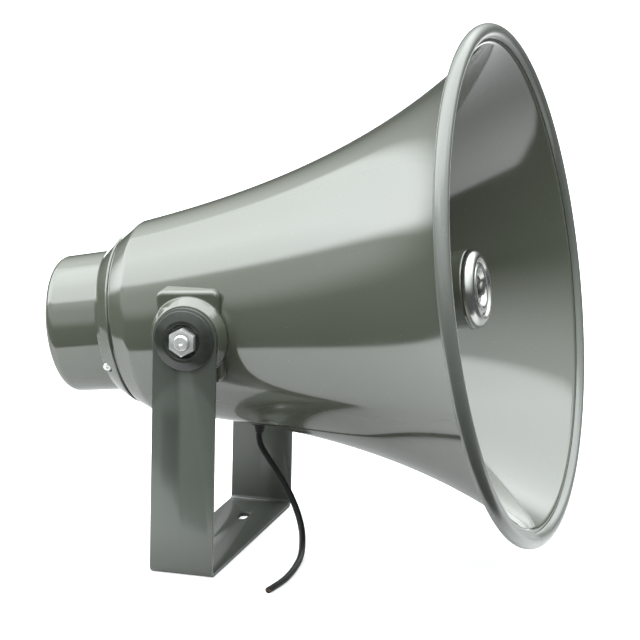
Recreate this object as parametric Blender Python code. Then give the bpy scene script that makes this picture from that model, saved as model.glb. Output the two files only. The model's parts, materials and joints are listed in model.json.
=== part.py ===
"""A public-address horn loudspeaker of the re-entrant kind, on its U bracket.

A compression driver at the rear feeds a central throat tube. The sound turns back inside a
reflector cup, turns again at the cup's open rear end, and leaves through the outer bell.
The bell hangs on two studs between the legs of a bent steel strap and tilts about them.

Metres, +Z up, the horn fires towards +X. The origin is the centre of the strap's underside.
Horn pieces are modelled in the horn's own frame: X runs from the tilt axis to the mouth.
"""

import math

import bmesh
import bpy
from mathutils import Matrix, Vector

CLEARANCE = 0.0003  # between pieces that touch
CURVE_STEP = math.radians(40)  # one facet of a rounded corner
SHARP_ANGLE = math.radians(35)  # edges that bend more are shaded sharp
FACET_TURN = 0.2  # keeps the corners of round cutters off the edges of the faces they cut

# Where the horn hangs
PIVOT_HEIGHT = 0.1846
HORN_TILT = math.radians(9.83)

# Strap bracket
STRAP_WIDTH = 0.050
STRAP_SHEET = 0.003
STRAP_BEND = 0.006  # outside radius of each fold
SLOT_LENGTH = 0.018
SLOT_WIDTH = 0.0075
SLOT_SPREAD = 0.110

# Spun bell, as distances along the horn axis and radii from it
BELL_WALL = 0.0016
RIM_RADIUS = 0.200
BEAD_RADIUS = 0.006
LIP_START = 0.2284
LIP_RADIUS = 0.003
WAIST_RADIUS = 0.0863  # at the tilt axis
FLARE_RATE = 5.6
BELL_REAR = -0.0725
BELL_BORE = 0.022
SHOULDER_STEP = 0.0119  # how much wider the bell's shoulder is than the cover
SHOULDER_END = -0.0585
SHOULDER_BLEND = 0.012
BELL_SEGMENTS = 44

# Cast ring between the bell and the driver, and the cover that slides into its skirt
GROOVE_WIDTH = 0.0014
GROOVE_DEPTH = 0.0025
WEB_THICKNESS = 0.0092
SKIRT_LENGTH = 0.0063
RING_SLOPE = math.radians(39)
RING_EDGE = 0.0012
THROAT_RADIUS = 0.011
THROAT_FLARE = 0.003  # how much wider the throat is where it leaves the chamber
CHAMBER_INSET = 0.001  # how far the gasket stands back from the chamber's edge
COVER_WALL = 0.0015
COVER_AIR = 0.0016  # between the cover and the magnet's plate
COVER_REAR = -0.1335
COVER_TAPER = math.radians(2.3)
COVER_CORNER = 0.010
COVER_SCREW_RADIUS = 0.0020
COVER_SCREW_ANGLE = math.radians(-27)
COVER_SEAT_DEPTH = 0.0012  # of the flats cut in the ring for the cover screws

# Compression driver
DOME_RADIUS = 0.0195
DOME_HEIGHT = 0.0065
SCREW_LAND = 0.010  # from the driver screws' centres inwards to the diaphragm
MEMBRANE = 0.0006
GASKET_SHEET = 0.0008
COIL_WALL = 0.0007
COIL_LENGTH = 0.0070
COIL_AIR = 0.0005  # on each side of the coil in the magnet's gap
PLATE_EDGE = 0.004  # from the driver screws' centres to the plate's edge
PLATE_THICKNESS = 0.0070
MAGNET_RADIUS = 0.0445
MAGNET_BORE = 0.0240
MAGNET_THICKNESS = 0.0200
YOKE_INSET = 0.001  # how much smaller the yoke is than the magnet
YOKE_THICKNESS = 0.0080
VENT_RADIUS = 0.004
PLATE_RECESS = 0.0040  # for the gasket and the diaphragm's edge
EDGE_RING = 0.007  # width of the diaphragm's clamped edge
PLUG_GAP = 0.001  # between the dome and the phase plug
PLUG_SHARE = 0.6  # of the dome that the phase plug covers
FIN_WALL = 0.0016
DRIVER_SCREW_RADIUS = 0.0018
DRIVER_SCREW_ASIDE = 0.0035  # from the magnet's side to the screws' centres
TERMINAL_WIDTH = 0.018
TERMINAL_DEPTH = 0.007
TERMINAL_SCREW_RADIUS = 0.0011

# Throat tube, reflector cup and chrome cap
TUBE_WALL = 0.0020
TUBE_END = 0.165
TUBE_MOUTH_RADIUS = 0.0210
TUBE_CURVE = 1.2
TUBE_FLANGE_ASIDE = 0.006  # from the middle of the driver's lead to the flange's edge
TUBE_FLANGE = 0.0040
FLANGE_SCREW_RADIUS = 0.0025
FLANGE_EDGE = 0.008  # from the flange screws' centres to the flange's edge
CUP_WALL = 0.0016
CUP_FRONT = 0.1983
CUP_NECK_RADIUS = 0.031
CUP_NECK_LENGTH = 0.022
CUP_REAR = -0.035
CUP_REAR_RADIUS = 0.064
CUP_CURVE = 1.7
CAP_DEPTH = 0.0080
CAP_SHEET = 0.0012
CAP_EDGE = 0.0035
CAP_GROOVE = 0.0022  # depth of the groove inside its round rim
CAP_SINK = 0.0042  # of the cap's middle, where the bolt's washer lies
TIE_RADIUS = 0.003
TIE_NUT_FLATS = 0.010
TIE_NUT_HEIGHT = 0.005
WASHER_RADIUS = 0.0072
WASHER_SHEET = 0.0010
SPIDER_LENGTH = 0.012
SPIDER_ARM = 0.003
SPIDER_HOOP = 0.0018
HUB_PROUD = 0.002  # how far the hub stands out behind the arms' hoop

# Pan-head screws: the head's radius and height as shares of the shank's radius
HEAD_SHARE = 1.8
HEAD_RISE_SHARE = 1.1

# Lugs on the sides of the bell, with the clamping hardware
LUG_WIDTH = 0.050
LUG_HEIGHT = 0.071
LUG_TURN = math.radians(-4.5)
LUG_CORNER = 0.004
LUG_EDGE = 0.0022
LUG_LENGTH = 0.0164  # from the bell's side at the tilt axis to the boss's face
BOSS_RADIUS = 0.0280
BOSS_LENGTH = 0.0087
STUD_RADIUS = 0.006
STUD_SOCKET = 0.012
STUD_END = 0.0018  # past the nut's face
STUD_CHAMFER = 0.001
DISH_RADIUS = 0.0235
DISH_RIDGE = 0.0160
DISH_HEIGHT = 0.0046
DISH_SHEET = 0.0014
NUT_FLATS = 0.019
NUT_HEIGHT = 0.006

# Cable
CABLE_RADIUS = 0.0025
GLAND_PLACE = 0.0140
GLAND_RADIUS = 0.0078
GLAND_NECK = 0.0050
GLAND_LENGTH = 0.0095
GLAND_PLUG = 0.0038  # from the bell's outside to the gland's inner end
GLAND_FLANGE = 0.0030

NEAR = -1  # the side of the strap at -Y
FAR = 1
FOOT = -math.pi / 2  # the angle of the lowest point on a circle about the horn axis
BORE_REACH = 0.010  # how far a cutter runs through a sheet to either side


def clear_scene():
    for obj in list(bpy.data.objects):
        bpy.data.objects.remove(obj)


def finish(name, colour, roughness, metallic):
    """The material of that name, made at its first use."""
    made = bpy.data.materials.get(name)
    if made is None:
        made = bpy.data.materials.new(name)
        made.use_nodes = True
        shader = made.node_tree.nodes["Principled BSDF"]
        shader.inputs["Base Color"].default_value = (*colour, 1.0)
        shader.inputs["Roughness"].default_value = roughness
        shader.inputs["Metallic"].default_value = metallic
        made.diffuse_color = (*colour, 1.0)
    return made


def enamel():
    return finish("horn_enamel", (0.105, 0.115, 0.092), 0.25, 0.0)


def strap_paint():
    return finish("bracket_paint", (0.095, 0.105, 0.092), 0.40, 0.0)


def trim_paint():
    return finish("trim_paint", (0.17, 0.18, 0.16), 0.40, 0.0)


def chrome():
    return finish("chrome", (0.80, 0.80, 0.80), 0.12, 1.0)


def zinc():
    return finish("zinc", (0.72, 0.73, 0.74), 0.30, 1.0)


def dark_steel():
    return finish("dark_steel", (0.05, 0.055, 0.05), 0.40, 1.0)


def driver_steel():
    return finish("driver_steel", (0.45, 0.45, 0.44), 0.40, 1.0)


def ferrite():
    return finish("ferrite", (0.045, 0.045, 0.05), 0.60, 0.0)


def phenolic():
    return finish("phenolic", (0.16, 0.07, 0.03), 0.55, 0.0)


def brass():
    return finish("brass", (0.70, 0.50, 0.20), 0.30, 1.0)


def cast_metal():
    return finish("cast_metal", (0.30, 0.31, 0.30), 0.50, 0.6)


def rubber():
    return finish("rubber", (0.012, 0.012, 0.012), 0.60, 0.0)


def cable_jacket():
    return finish("cable_jacket", (0.010, 0.010, 0.010), 0.40, 0.0)


def black_plastic():
    return finish("black_plastic", (0.02, 0.02, 0.02), 0.50, 0.0)


def rounded(corners):
    """The outline through these corners, (x, y) or (x, y, radius), each radius as an arc."""
    points = []
    for index, corner in enumerate(corners):
        here = Vector(corner[:2])
        radius = corner[2] if len(corner) > 2 else 0.0
        if radius == 0.0:
            points.append(here)
            continue
        before = (Vector(corners[index - 1][:2]) - here).normalized()
        after = (Vector(corners[(index + 1) % len(corners)][:2]) - here).normalized()
        half = before.angle(after) / 2
        centre = here + (before + after).normalized() * radius / math.sin(half)
        start = here + before * radius / math.tan(half) - centre
        turn = start.angle_signed(here + after * radius / math.tan(half) - centre)
        steps = max(1, round(abs(turn) / CURVE_STEP))
        for step in range(steps + 1):
            arm = start.copy()
            arm.rotate(Matrix.Rotation(-turn * step / steps, 2))
            points.append(centre + arm)
    return points


def beside(path, distance):
    """The path moved to the right of the way it runs, by the distance."""
    rights = [Vector((b.y - a.y, a.x - b.x)).normalized() for a, b in zip(path, path[1:])]
    moved = []
    for index, point in enumerate(path):
        one = rights[max(index - 1, 0)]
        other = rights[min(index, len(rights) - 1)]
        way = (one + other).normalized()
        moved.append(point + way * distance / way.dot(one))
    return moved


def shell(skin, wall):
    """The outline of a sheet with this outer skin, its thickness lying to the skin's right."""
    return list(skin) + beside(skin, wall)[::-1]


def place(name, mesh, paint, parent=None):
    """An object of the mesh, which the bmesh fills and frees."""
    data = bpy.data.meshes.new(name)
    bmesh.ops.recalc_face_normals(mesh, faces=mesh.faces)
    mesh.to_mesh(data)
    mesh.free()
    data.materials.append(paint)
    data.shade_smooth()
    data.set_sharp_from_angle(angle=SHARP_ANGLE)
    obj = bpy.data.objects.new(name, data)
    bpy.context.scene.collection.objects.link(obj)
    obj.parent = parent
    return obj


def turned(name, outline, segments, paint, parent=None):
    """The outline, as distances along X and radii, turned about X."""
    points = [Vector(point) for point in outline]
    mesh = bmesh.new()
    verts = [mesh.verts.new((p.x, 0.0, p.y)) for p in points]
    ring = verts if points[0].y == points[-1].y == 0.0 else verts + verts[:1]
    edges = [mesh.edges.new(pair) for pair in zip(ring, ring[1:])]
    bmesh.ops.spin(
        mesh, geom=verts + edges, axis=(1, 0, 0), cent=(0, 0, 0), angle=math.tau, steps=segments,
        use_merge=True,
    )
    bmesh.ops.remove_doubles(mesh, verts=mesh.verts, dist=1e-6)
    return place(name, mesh, paint, parent)


def prism(name, outline, low, high, paint, parent=None, plane="XY"):
    """The outline in its plane, extruded from low to high along the third axis."""
    axes = {
        "XY": Matrix.Identity(4),
        "XZ": Matrix.Rotation(math.radians(90), 4, "X") @ Matrix.Scale(-1, 4, (0, 0, 1)),
        "YZ": Matrix(((0, 0, 1, 0), (1, 0, 0, 0), (0, 1, 0, 0), (0, 0, 0, 1))),
    }[plane]
    mesh = bmesh.new()
    face = mesh.faces.new([mesh.verts.new((p[0], p[1], low)) for p in outline])
    grown = bmesh.ops.extrude_face_region(mesh, geom=[face])["geom"]
    moved = [item for item in grown if isinstance(item, bmesh.types.BMVert)]
    bmesh.ops.translate(mesh, verts=moved, vec=(0, 0, high - low))
    bmesh.ops.transform(mesh, matrix=axes, verts=mesh.verts)
    return place(name, mesh, paint, parent)


def rod(name, radius, low, high, segments, paint, parent=None):
    """A plain cylinder along its X, from low to high."""
    return turned(name, [(low, 0.0), (low, radius), (high, radius), (high, 0.0)], segments, paint, parent)


def combine(obj, tool, operation):
    """Joins, cuts or intersects the object with a tool that isn't part of the model."""
    tool.hide_render = True
    tool.display_type = "WIRE"
    change = obj.modifiers.new(operation.lower() + "_" + tool.name, "BOOLEAN")
    change.operation = operation
    change.object = tool
    return obj


def cut(obj, tool):
    return combine(obj, tool, "DIFFERENCE")


def join(obj, tool):
    return combine(obj, tool, "UNION")


def drill(name, radius, behind, before, horn):
    """A cutter for the bore of a screw or lead, along X from that far behind 0 to before it."""
    return rod(name, radius + CLEARANCE, -behind, before, 8, enamel(), horn)


def on_circle(obj, along, circle, angle, rearward=False):
    """Puts an object of local X parallel to the horn's, or against it, on a circle about the axis."""
    obj.location = (along, -circle * math.cos(angle), circle * math.sin(angle))
    obj.rotation_euler = (FACET_TURN, 0, math.pi if rearward else 0)
    return obj


def flare_radius(along):
    """The bell's outside radius, which grows by an exponential to reach the lip."""
    lip = RIM_RADIUS - 2 * BEAD_RADIUS - LIP_RADIUS
    growth = (lip - WAIST_RADIUS) / (math.exp(FLARE_RATE * LIP_START) - 1)
    return WAIST_RADIUS + growth * (math.exp(FLARE_RATE * along) - 1)


def flare_slope(along):
    nudge = 1e-5
    return math.atan((flare_radius(along + nudge) - flare_radius(along - nudge)) / (2 * nudge))


def lip_plane():
    """Where the middle of the bell's lip stands, square to the horn axis."""
    return LIP_START + LIP_RADIUS * (1 - math.sin(flare_slope(LIP_START))) + BELL_WALL / 2


def driver_screw_circle():
    return MAGNET_RADIUS + DRIVER_SCREW_ASIDE


def tube_flange_radius():
    return driver_screw_circle() - TUBE_FLANGE_ASIDE


def flange_screw_circle():
    return tube_flange_radius() - FLANGE_EDGE


def diaphragm_radius():
    return driver_screw_circle() - SCREW_LAND


def chamber_radius():
    return diaphragm_radius() - EDGE_RING - CHAMBER_INSET


def plate_radius():
    return driver_screw_circle() + PLATE_EDGE


def yoke_radius():
    return MAGNET_RADIUS - YOKE_INSET


def cover_mouth_radius():
    """The cover's outside at its open end, with air round the magnet's plate."""
    return plate_radius() + COVER_AIR + COVER_WALL


def shoulder_radius():
    """The outside of the bell's rear corner and of the ring that lines up with it."""
    return cover_mouth_radius() + SHOULDER_STEP


def bell_skin():
    """The bell's outside, from the bore of its rear wall to the edge of its lip."""
    bend_end = 2 * SHOULDER_END - BELL_REAR
    rear = [
        (BELL_REAR, BELL_BORE),
        (BELL_REAR, shoulder_radius(), 1.3 * BELL_WALL),
        (SHOULDER_END, flare_radius(SHOULDER_END), SHOULDER_BLEND),
        (bend_end, flare_radius(bend_end)),
    ]
    skin = rounded(rear)
    steps = 8
    for step in range(1, steps + 1):
        along = bend_end + (LIP_START - bend_end) * step / steps
        skin.append(Vector((along, flare_radius(along))))
    slope = flare_slope(LIP_START)
    centre = skin[-1] + LIP_RADIUS * Vector((-math.sin(slope), math.cos(slope)))
    for turn in (math.pi / 2 * 0.5 + slope * 0.5, math.pi / 2):
        skin.append(centre + LIP_RADIUS * Vector((math.sin(turn), -math.cos(turn))))
    skin.append(Vector((skin[-1].x, RIM_RADIUS - BEAD_RADIUS)))
    return skin


def bell(horn):
    """The spun aluminium bell, with the bores for its screws, driver lead and gland."""
    body = turned("bell", shell(bell_skin(), BELL_WALL), BELL_SEGMENTS, enamel(), horn)
    for index, angle in enumerate(flange_screw_angles()):
        hole = drill(f"bell_screw_bore_{index}", FLANGE_SCREW_RADIUS, BORE_REACH, BORE_REACH, horn)
        cut(body, on_circle(hole, BELL_REAR, flange_screw_circle(), angle))
    lead_hole = drill("bell_lead_bore", CABLE_RADIUS, BORE_REACH, BORE_REACH, horn)
    cut(body, on_circle(lead_hole, BELL_REAR, driver_screw_circle(), FOOT))
    gland_hole = rod("bell_gland_bore", GLAND_NECK + CLEARANCE, -BORE_REACH, BORE_REACH, 16, enamel(), horn)
    return cut(body, at_gland(gland_hole))


def rim_trim(horn):
    """The round bead that is pressed over the lip, open by a slot towards the axis."""
    centre = Vector((lip_plane(), RIM_RADIUS - BEAD_RADIUS))
    half_slot = BELL_WALL / 2 + CLEARANCE
    opening = math.asin(half_slot / BEAD_RADIUS)
    steps = 8
    outline = []
    for step in range(steps + 1):
        turn = opening + (math.tau - 2 * opening) * step / steps
        outline.append(centre + BEAD_RADIUS * Vector((math.sin(turn), -math.cos(turn))))
    outline.append(centre + Vector((-half_slot, CLEARANCE)))
    outline.append(centre + Vector((half_slot, CLEARANCE)))
    return turned("rim_trim", outline, BELL_SEGMENTS, trim_paint(), horn)


def web_front():
    return BELL_REAR - CLEARANCE


def web_rear():
    return web_front() - WEB_THICKNESS


def cover_radius(along):
    return cover_mouth_radius() + (along - web_rear()) * math.tan(COVER_TAPER)


def ring_radius(along):
    """The ring's sloping outside, which lines up with the bell's shoulder."""
    front = web_front() - GROOVE_WIDTH
    return shoulder_radius() - (front - along) * math.tan(RING_SLOPE)


def mounting_ring(horn):
    """The casting that joins the bell to the driver, with the chamber and the throat in it."""
    front, rear = web_front(), web_rear()
    skirt_end = rear - SKIRT_LENGTH
    bore = cover_mouth_radius() + CLEARANCE
    rim = front - GROOVE_WIDTH
    outline = rounded(
        [
            (front, THROAT_RADIUS),
            (front, shoulder_radius() - GROOVE_DEPTH),
            (rim, shoulder_radius() - GROOVE_DEPTH),
            (rim, ring_radius(rim), RING_EDGE),
            (skirt_end, max(ring_radius(skirt_end), bore + 2 * CLEARANCE)),
            (skirt_end, bore),
            (rear, bore),
            (rear, chamber_radius()),
            (rear + 0.16 * WEB_THICKNESS, 0.8 * chamber_radius()),
            (front - 0.38 * WEB_THICKNESS, THROAT_RADIUS + THROAT_FLARE),
            (front - 0.13 * WEB_THICKNESS, THROAT_RADIUS),
        ]
    )
    body = turned("mounting_ring", outline, 28, enamel(), horn)
    for index, angle in enumerate(cover_screw_angles()):
        flat = 1.15 * HEAD_SHARE * COVER_SCREW_RADIUS
        seat = rod(f"ring_spotface_{index}", flat, 0.0, BORE_REACH, 16, enamel(), horn)
        cut(body, at_cover_screw(seat, angle))
        hole = drill(f"ring_cover_bore_{index}", COVER_SCREW_RADIUS, BORE_REACH, BORE_REACH, horn)
        cut(body, at_cover_screw(hole, angle))
    deep = 0.76 * WEB_THICKNESS
    for index, angle in enumerate(flange_screw_angles()):
        hole = drill(f"ring_flange_bore_{index}", FLANGE_SCREW_RADIUS, deep, BORE_REACH, horn)
        cut(body, on_circle(hole, front, flange_screw_circle(), angle))
    for index, angle in enumerate(driver_screw_angles()):
        hole = drill(f"ring_driver_bore_{index}", DRIVER_SCREW_RADIUS, BORE_REACH, 0.7 * WEB_THICKNESS, horn)
        cut(body, on_circle(hole, rear, driver_screw_circle(), angle))
    lead_hole = drill("ring_lead_bore", CABLE_RADIUS, 2 * BORE_REACH, BORE_REACH, horn)
    return cut(body, on_circle(lead_hole, front, driver_screw_circle(), FOOT))


def cover_screw_angles():
    return (COVER_SCREW_ANGLE, COVER_SCREW_ANGLE + math.pi)


def flange_screw_angles():
    return [math.pi / 4 + quarter * math.pi / 2 for quarter in range(4)]


def driver_screw_angles():
    return flange_screw_angles()


def cover_screw_place():
    return web_rear() - SKIRT_LENGTH / 2


def cover_screw_seat():
    """The radius of the flat seats cut in the ring's skirt."""
    return ring_radius(cover_screw_place()) - COVER_SEAT_DEPTH


def at_cover_screw(obj, angle):
    """Stands an object of local X outwards, with its origin on the seat cut in the ring's skirt."""
    seat = cover_screw_seat()
    obj.location = (cover_screw_place(), -seat * math.cos(angle), seat * math.sin(angle))
    outward = Vector((0, -math.cos(angle), math.sin(angle)))
    obj.rotation_euler = outward.to_track_quat("X", "Z").to_euler()
    return obj


def driver_cover(horn):
    """The drawn can over the driver, closed at the rear."""
    front = web_rear() - CLEARANCE
    skin = rounded(
        [
            (COVER_REAR, 0.0),
            (COVER_REAR, cover_radius(COVER_REAR), COVER_CORNER),
            (front, cover_radius(front)),
        ]
    )
    body = turned("driver_cover", shell(skin, COVER_WALL), 28, enamel(), horn)
    for index, angle in enumerate(cover_screw_angles()):
        hole = drill(f"cover_bore_{index}", COVER_SCREW_RADIUS, BORE_REACH, BORE_REACH, horn)
        cut(body, at_cover_screw(hole, angle))
    return body


def screw(name, radius, length, paint, parent):
    """A pan-head screw: its head stands on the plane X = 0 and its shank runs to -X."""
    head_radius, head_height = HEAD_SHARE * radius, HEAD_RISE_SHARE * radius
    outline = [
        (-length, 0.0),
        (-length, radius),
        (CLEARANCE, radius),
        (CLEARANCE, head_radius),
        (CLEARANCE + 0.6 * head_height, head_radius),
        (CLEARANCE + head_height, 0.7 * head_radius),
        (CLEARANCE + head_height, 0.0),
    ]
    return turned(name, outline, 8, paint, parent)


def screws(horn):
    """Two screws for the cover, four for the driver and four for the throat tube."""
    for index, angle in enumerate(cover_screw_angles()):
        length = cover_screw_seat() - plate_radius() - 2 * CLEARANCE
        made = screw(f"cover_screw_{index + 1}", COVER_SCREW_RADIUS, length, zinc(), horn)
        at_cover_screw(made, angle)
    plate_rear = plate_front() - PLATE_THICKNESS
    for index, angle in enumerate(driver_screw_angles()):
        length = web_rear() - plate_rear + 0.54 * WEB_THICKNESS
        made = screw(f"driver_screw_{index + 1}", DRIVER_SCREW_RADIUS, length, zinc(), horn)
        on_circle(made, plate_rear, driver_screw_circle(), angle, rearward=True)
    for index, angle in enumerate(flange_screw_angles()):
        length = TUBE_FLANGE + BELL_WALL + 0.65 * WEB_THICKNESS
        made = screw(f"flange_screw_{index + 1}", FLANGE_SCREW_RADIUS, length, zinc(), horn)
        on_circle(made, flange_rear() + TUBE_FLANGE, flange_screw_circle(), angle)


def flange_rear():
    return BELL_REAR + BELL_WALL + CLEARANCE


def tube_skin():
    """The throat tube's outside, from the edge of its flange to its mouth."""
    start = THROAT_RADIUS + TUBE_WALL
    face = flange_rear() + TUBE_FLANGE
    steps = 3
    skin = [Vector((face, start))]
    for step in range(1, steps + 1):
        share = step / steps
        radius = start + (TUBE_MOUTH_RADIUS - start) * share**TUBE_CURVE
        skin.append(Vector((face + (TUBE_END - face) * share, radius)))
    return skin


def throat_tube(horn):
    """The cast tube that leads the sound forward, with the flange that clamps the bell."""
    outside = tube_skin()
    inside = beside(outside, TUBE_WALL)[::-1]
    rear = flange_rear()
    outline = [
        (rear, tube_flange_radius()),
        (rear + TUBE_FLANGE, tube_flange_radius()),
        *outside,
        *inside[:-1],
        (rear, THROAT_RADIUS),
    ]
    body = turned("throat_tube", outline, 20, cast_metal(), horn)
    for index, angle in enumerate(flange_screw_angles()):
        hole = drill(f"tube_screw_bore_{index}", FLANGE_SCREW_RADIUS, BORE_REACH, BORE_REACH, horn)
        cut(body, on_circle(hole, rear, flange_screw_circle(), angle))
    return body


def spider_hoop_radius():
    """The outside of the spider's hoop, with room for the facets of the tube's bore."""
    return TUBE_MOUTH_RADIUS - TUBE_WALL - 4 * CLEARANCE


def spider(horn):
    """The hub with three arms in the tube's mouth, which carries the reflector's tie bolt."""
    rear = TUBE_END - SPIDER_LENGTH
    outer = spider_hoop_radius()
    inner = outer - SPIDER_HOOP
    outline = [(rear, inner), (rear, outer), (TUBE_END, outer), (TUBE_END, inner)]
    hoop = turned("spider", outline, 20, cast_metal(), horn)
    hub = 2.2 * TIE_RADIUS
    join(hoop, rod("spider_hub", hub, rear - HUB_PROUD, TUBE_END, 12, cast_metal(), horn))
    side = SPIDER_ARM / 2
    foot, tip = 0.4 * hub, outer - SPIDER_HOOP / 2
    for index in range(3):
        profile = [(-side, foot), (side, foot), (side, tip), (-side, tip)]
        low, high = rear + side, TUBE_END - side
        arm = prism(f"spider_arm_{index}", profile, low, high, cast_metal(), horn, "YZ")
        arm.rotation_euler = (index * math.tau / 3, 0, 0)
        join(hoop, arm)
    bore = TIE_RADIUS + CLEARANCE
    low, high = rear - BORE_REACH, TUBE_END + BORE_REACH
    return cut(hoop, rod("spider_bore", bore, low, high, 16, cast_metal(), horn))


def cup_radius(along):
    """The reflector's outside: a plain neck at the front, then a flare to the open rear end."""
    bend = CUP_FRONT - CUP_NECK_LENGTH
    share = max(0.0, (bend - along) / (bend - CUP_REAR))
    return CUP_NECK_RADIUS + (CUP_REAR_RADIUS - CUP_NECK_RADIUS) * share**CUP_CURVE


def reflector(horn):
    """The spun cup over the throat tube, closed at its narrow front end."""
    bend = CUP_FRONT - CUP_NECK_LENGTH
    steps = 5
    skin = []
    for step in range(steps + 1):
        along = CUP_REAR + (bend - CUP_REAR) * step / steps
        skin.append((along, cup_radius(along)))
    skin += [
        (CUP_FRONT, CUP_NECK_RADIUS, 2.0 * CUP_WALL),
        (CUP_FRONT, TIE_RADIUS + CLEARANCE),
    ]
    return turned("reflector", shell(rounded(skin), CUP_WALL), 28, enamel(), horn)


def cap_front():
    return CUP_FRONT + CLEARANCE + CAP_DEPTH


def reflector_cap(horn):
    """The chromed pressing on the reflector's front: round rim, groove, inner ring, sunk centre."""
    rear, front = CUP_FRONT + CLEARANCE, cap_front()
    edge = CUP_NECK_RADIUS - CLEARANCE
    skin = rounded(
        [
            (rear, edge),
            (front, edge, CAP_EDGE),
            (front, 0.80 * edge),
            (front - CAP_GROOVE, 0.70 * edge),
            (front - 0.3 * CAP_GROOVE, 0.60 * edge),
            (front - 0.3 * CAP_GROOVE, 0.46 * edge),
            (front - CAP_SINK, 0.36 * edge),
            (front - CAP_SINK, TIE_RADIUS + CLEARANCE),
        ]
    )
    return turned("reflector_cap", shell(skin, CAP_SHEET), 20, chrome(), horn)


def tie_hardware(horn):
    """The long bolt through cap, reflector, spacer and spider, with its washer and nut."""
    bore = TIE_RADIUS + CLEARANCE
    seat = cap_front() - CAP_SINK + CLEARANCE
    head = seat + WASHER_SHEET
    washer = [(seat, bore), (seat, WASHER_RADIUS), (head, WASHER_RADIUS), (head, bore)]
    turned("cap_washer", washer, 24, zinc(), horn)
    nut_rear = TUBE_END - SPIDER_LENGTH - HUB_PROUD - CLEARANCE - TIE_NUT_HEIGHT
    bolt_end = nut_rear - 2 * CLEARANCE - TIE_RADIUS / 2
    bolt = screw("tie_bolt", TIE_RADIUS, head - bolt_end, zinc(), horn)
    bolt.location = (head, 0, 0)
    rear, front = TUBE_END + CLEARANCE, CUP_FRONT - CUP_WALL - CLEARANCE
    outer = 2 * TIE_RADIUS
    turned("tie_spacer", [(rear, bore), (rear, outer), (front, outer), (front, bore)], 20, zinc(), horn)
    nut = hex_nut("tie_nut", TIE_NUT_FLATS, TIE_NUT_HEIGHT, TIE_RADIUS, horn)
    nut.location = (nut_rear, 0, 0)


def plate_front():
    """The plane of the magnet plate that the diaphragm's edge lies on."""
    return web_rear() - PLATE_RECESS


def driver(horn):
    """The compression driver, from the gasket back to the yoke."""
    gasket_front = web_rear() - CLEARANCE
    gasket_rear = gasket_front - GASKET_SHEET
    edge = diaphragm_radius() - EDGE_RING
    washer_like("gasket", gasket_rear, gasket_front, edge, diaphragm_radius(), rubber(), horn)
    diaphragm(horn, gasket_rear - CLEARANCE)
    phase_plug(horn, gasket_rear - CLEARANCE)
    front_plate(horn)
    magnet_front = plate_front() - PLATE_THICKNESS - CLEARANCE
    magnet_rear = magnet_front - MAGNET_THICKNESS
    washer_like("magnet", magnet_rear, magnet_front, MAGNET_BORE, MAGNET_RADIUS, ferrite(), horn)
    yoke(horn, magnet_rear - CLEARANCE)
    terminals(horn, plate_front() - PLATE_THICKNESS)


def washer_like(name, rear, front, inner, outer, paint, parent):
    """A flat ring about the horn axis."""
    outline = [(rear, inner), (rear, outer), (front, outer), (front, inner)]
    return turned(name, outline, 24, paint, parent)


def front_plate(horn):
    """The magnet's front plate, with a recess for the diaphragm's edge and the gasket."""
    front, rear = web_rear() - CLEARANCE, plate_front() - PLATE_THICKNESS
    recess = diaphragm_radius() + 2 * CLEARANCE
    gap = DOME_RADIUS + COIL_AIR
    outline = [
        (rear, gap),
        (rear, plate_radius()),
        (front, plate_radius()),
        (front, recess),
        (plate_front(), recess),
        (plate_front(), gap),
    ]
    plate = turned("front_plate", outline, 24, driver_steel(), horn)
    for index, angle in enumerate(driver_screw_angles()):
        hole = drill(f"plate_bore_{index}", DRIVER_SCREW_RADIUS, BORE_REACH, 2 * BORE_REACH, horn)
        cut(plate, on_circle(hole, rear, driver_screw_circle(), angle))
    lead_hole = drill("plate_lead_bore", CABLE_RADIUS, BORE_REACH, 2 * BORE_REACH, horn)
    return cut(plate, on_circle(lead_hole, rear, driver_screw_circle(), FOOT))


def yoke(horn, front):
    """The magnet's back plate, in one piece with the vented pole inside the voice coil."""
    rear, pole_front = front - YOKE_THICKNESS, plate_front() - COIL_AIR
    pole = DOME_RADIUS - COIL_WALL - COIL_AIR
    outline = [
        (rear, VENT_RADIUS),
        (rear, yoke_radius()),
        (front, yoke_radius()),
        (front, pole),
        (pole_front, pole),
        (pole_front, VENT_RADIUS),
    ]
    return turned("yoke", outline, 24, driver_steel(), horn)


def dome_height(radius):
    """How far the diaphragm's dome stands before its own base at that radius."""
    ball = (DOME_RADIUS**2 + DOME_HEIGHT**2) / (2 * DOME_HEIGHT)
    return math.sqrt(ball**2 - radius**2) - (ball - DOME_HEIGHT)


def diaphragm(horn, front):
    """The phenolic dome, its flat surround and edge, and the voice coil's former."""
    steps = 3
    radii = [DOME_RADIUS * step / steps for step in range(steps + 1)]
    dome = [(front + dome_height(radius), radius) for radius in radii]
    back = [(along - MEMBRANE, max(radius - COIL_WALL, 0.0)) for along, radius in dome]
    edge = diaphragm_radius() - EDGE_RING
    outline = [
        *dome,
        (front, diaphragm_radius()),
        (plate_front() + CLEARANCE, diaphragm_radius()),
        (plate_front() + CLEARANCE, edge),
        (front - MEMBRANE, edge),
        (front - MEMBRANE, DOME_RADIUS),
        (front - COIL_LENGTH, DOME_RADIUS),
        (front - COIL_LENGTH, DOME_RADIUS - COIL_WALL),
        *back[::-1],
    ]
    return turned("diaphragm", outline, 16, phenolic(), horn)


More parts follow.
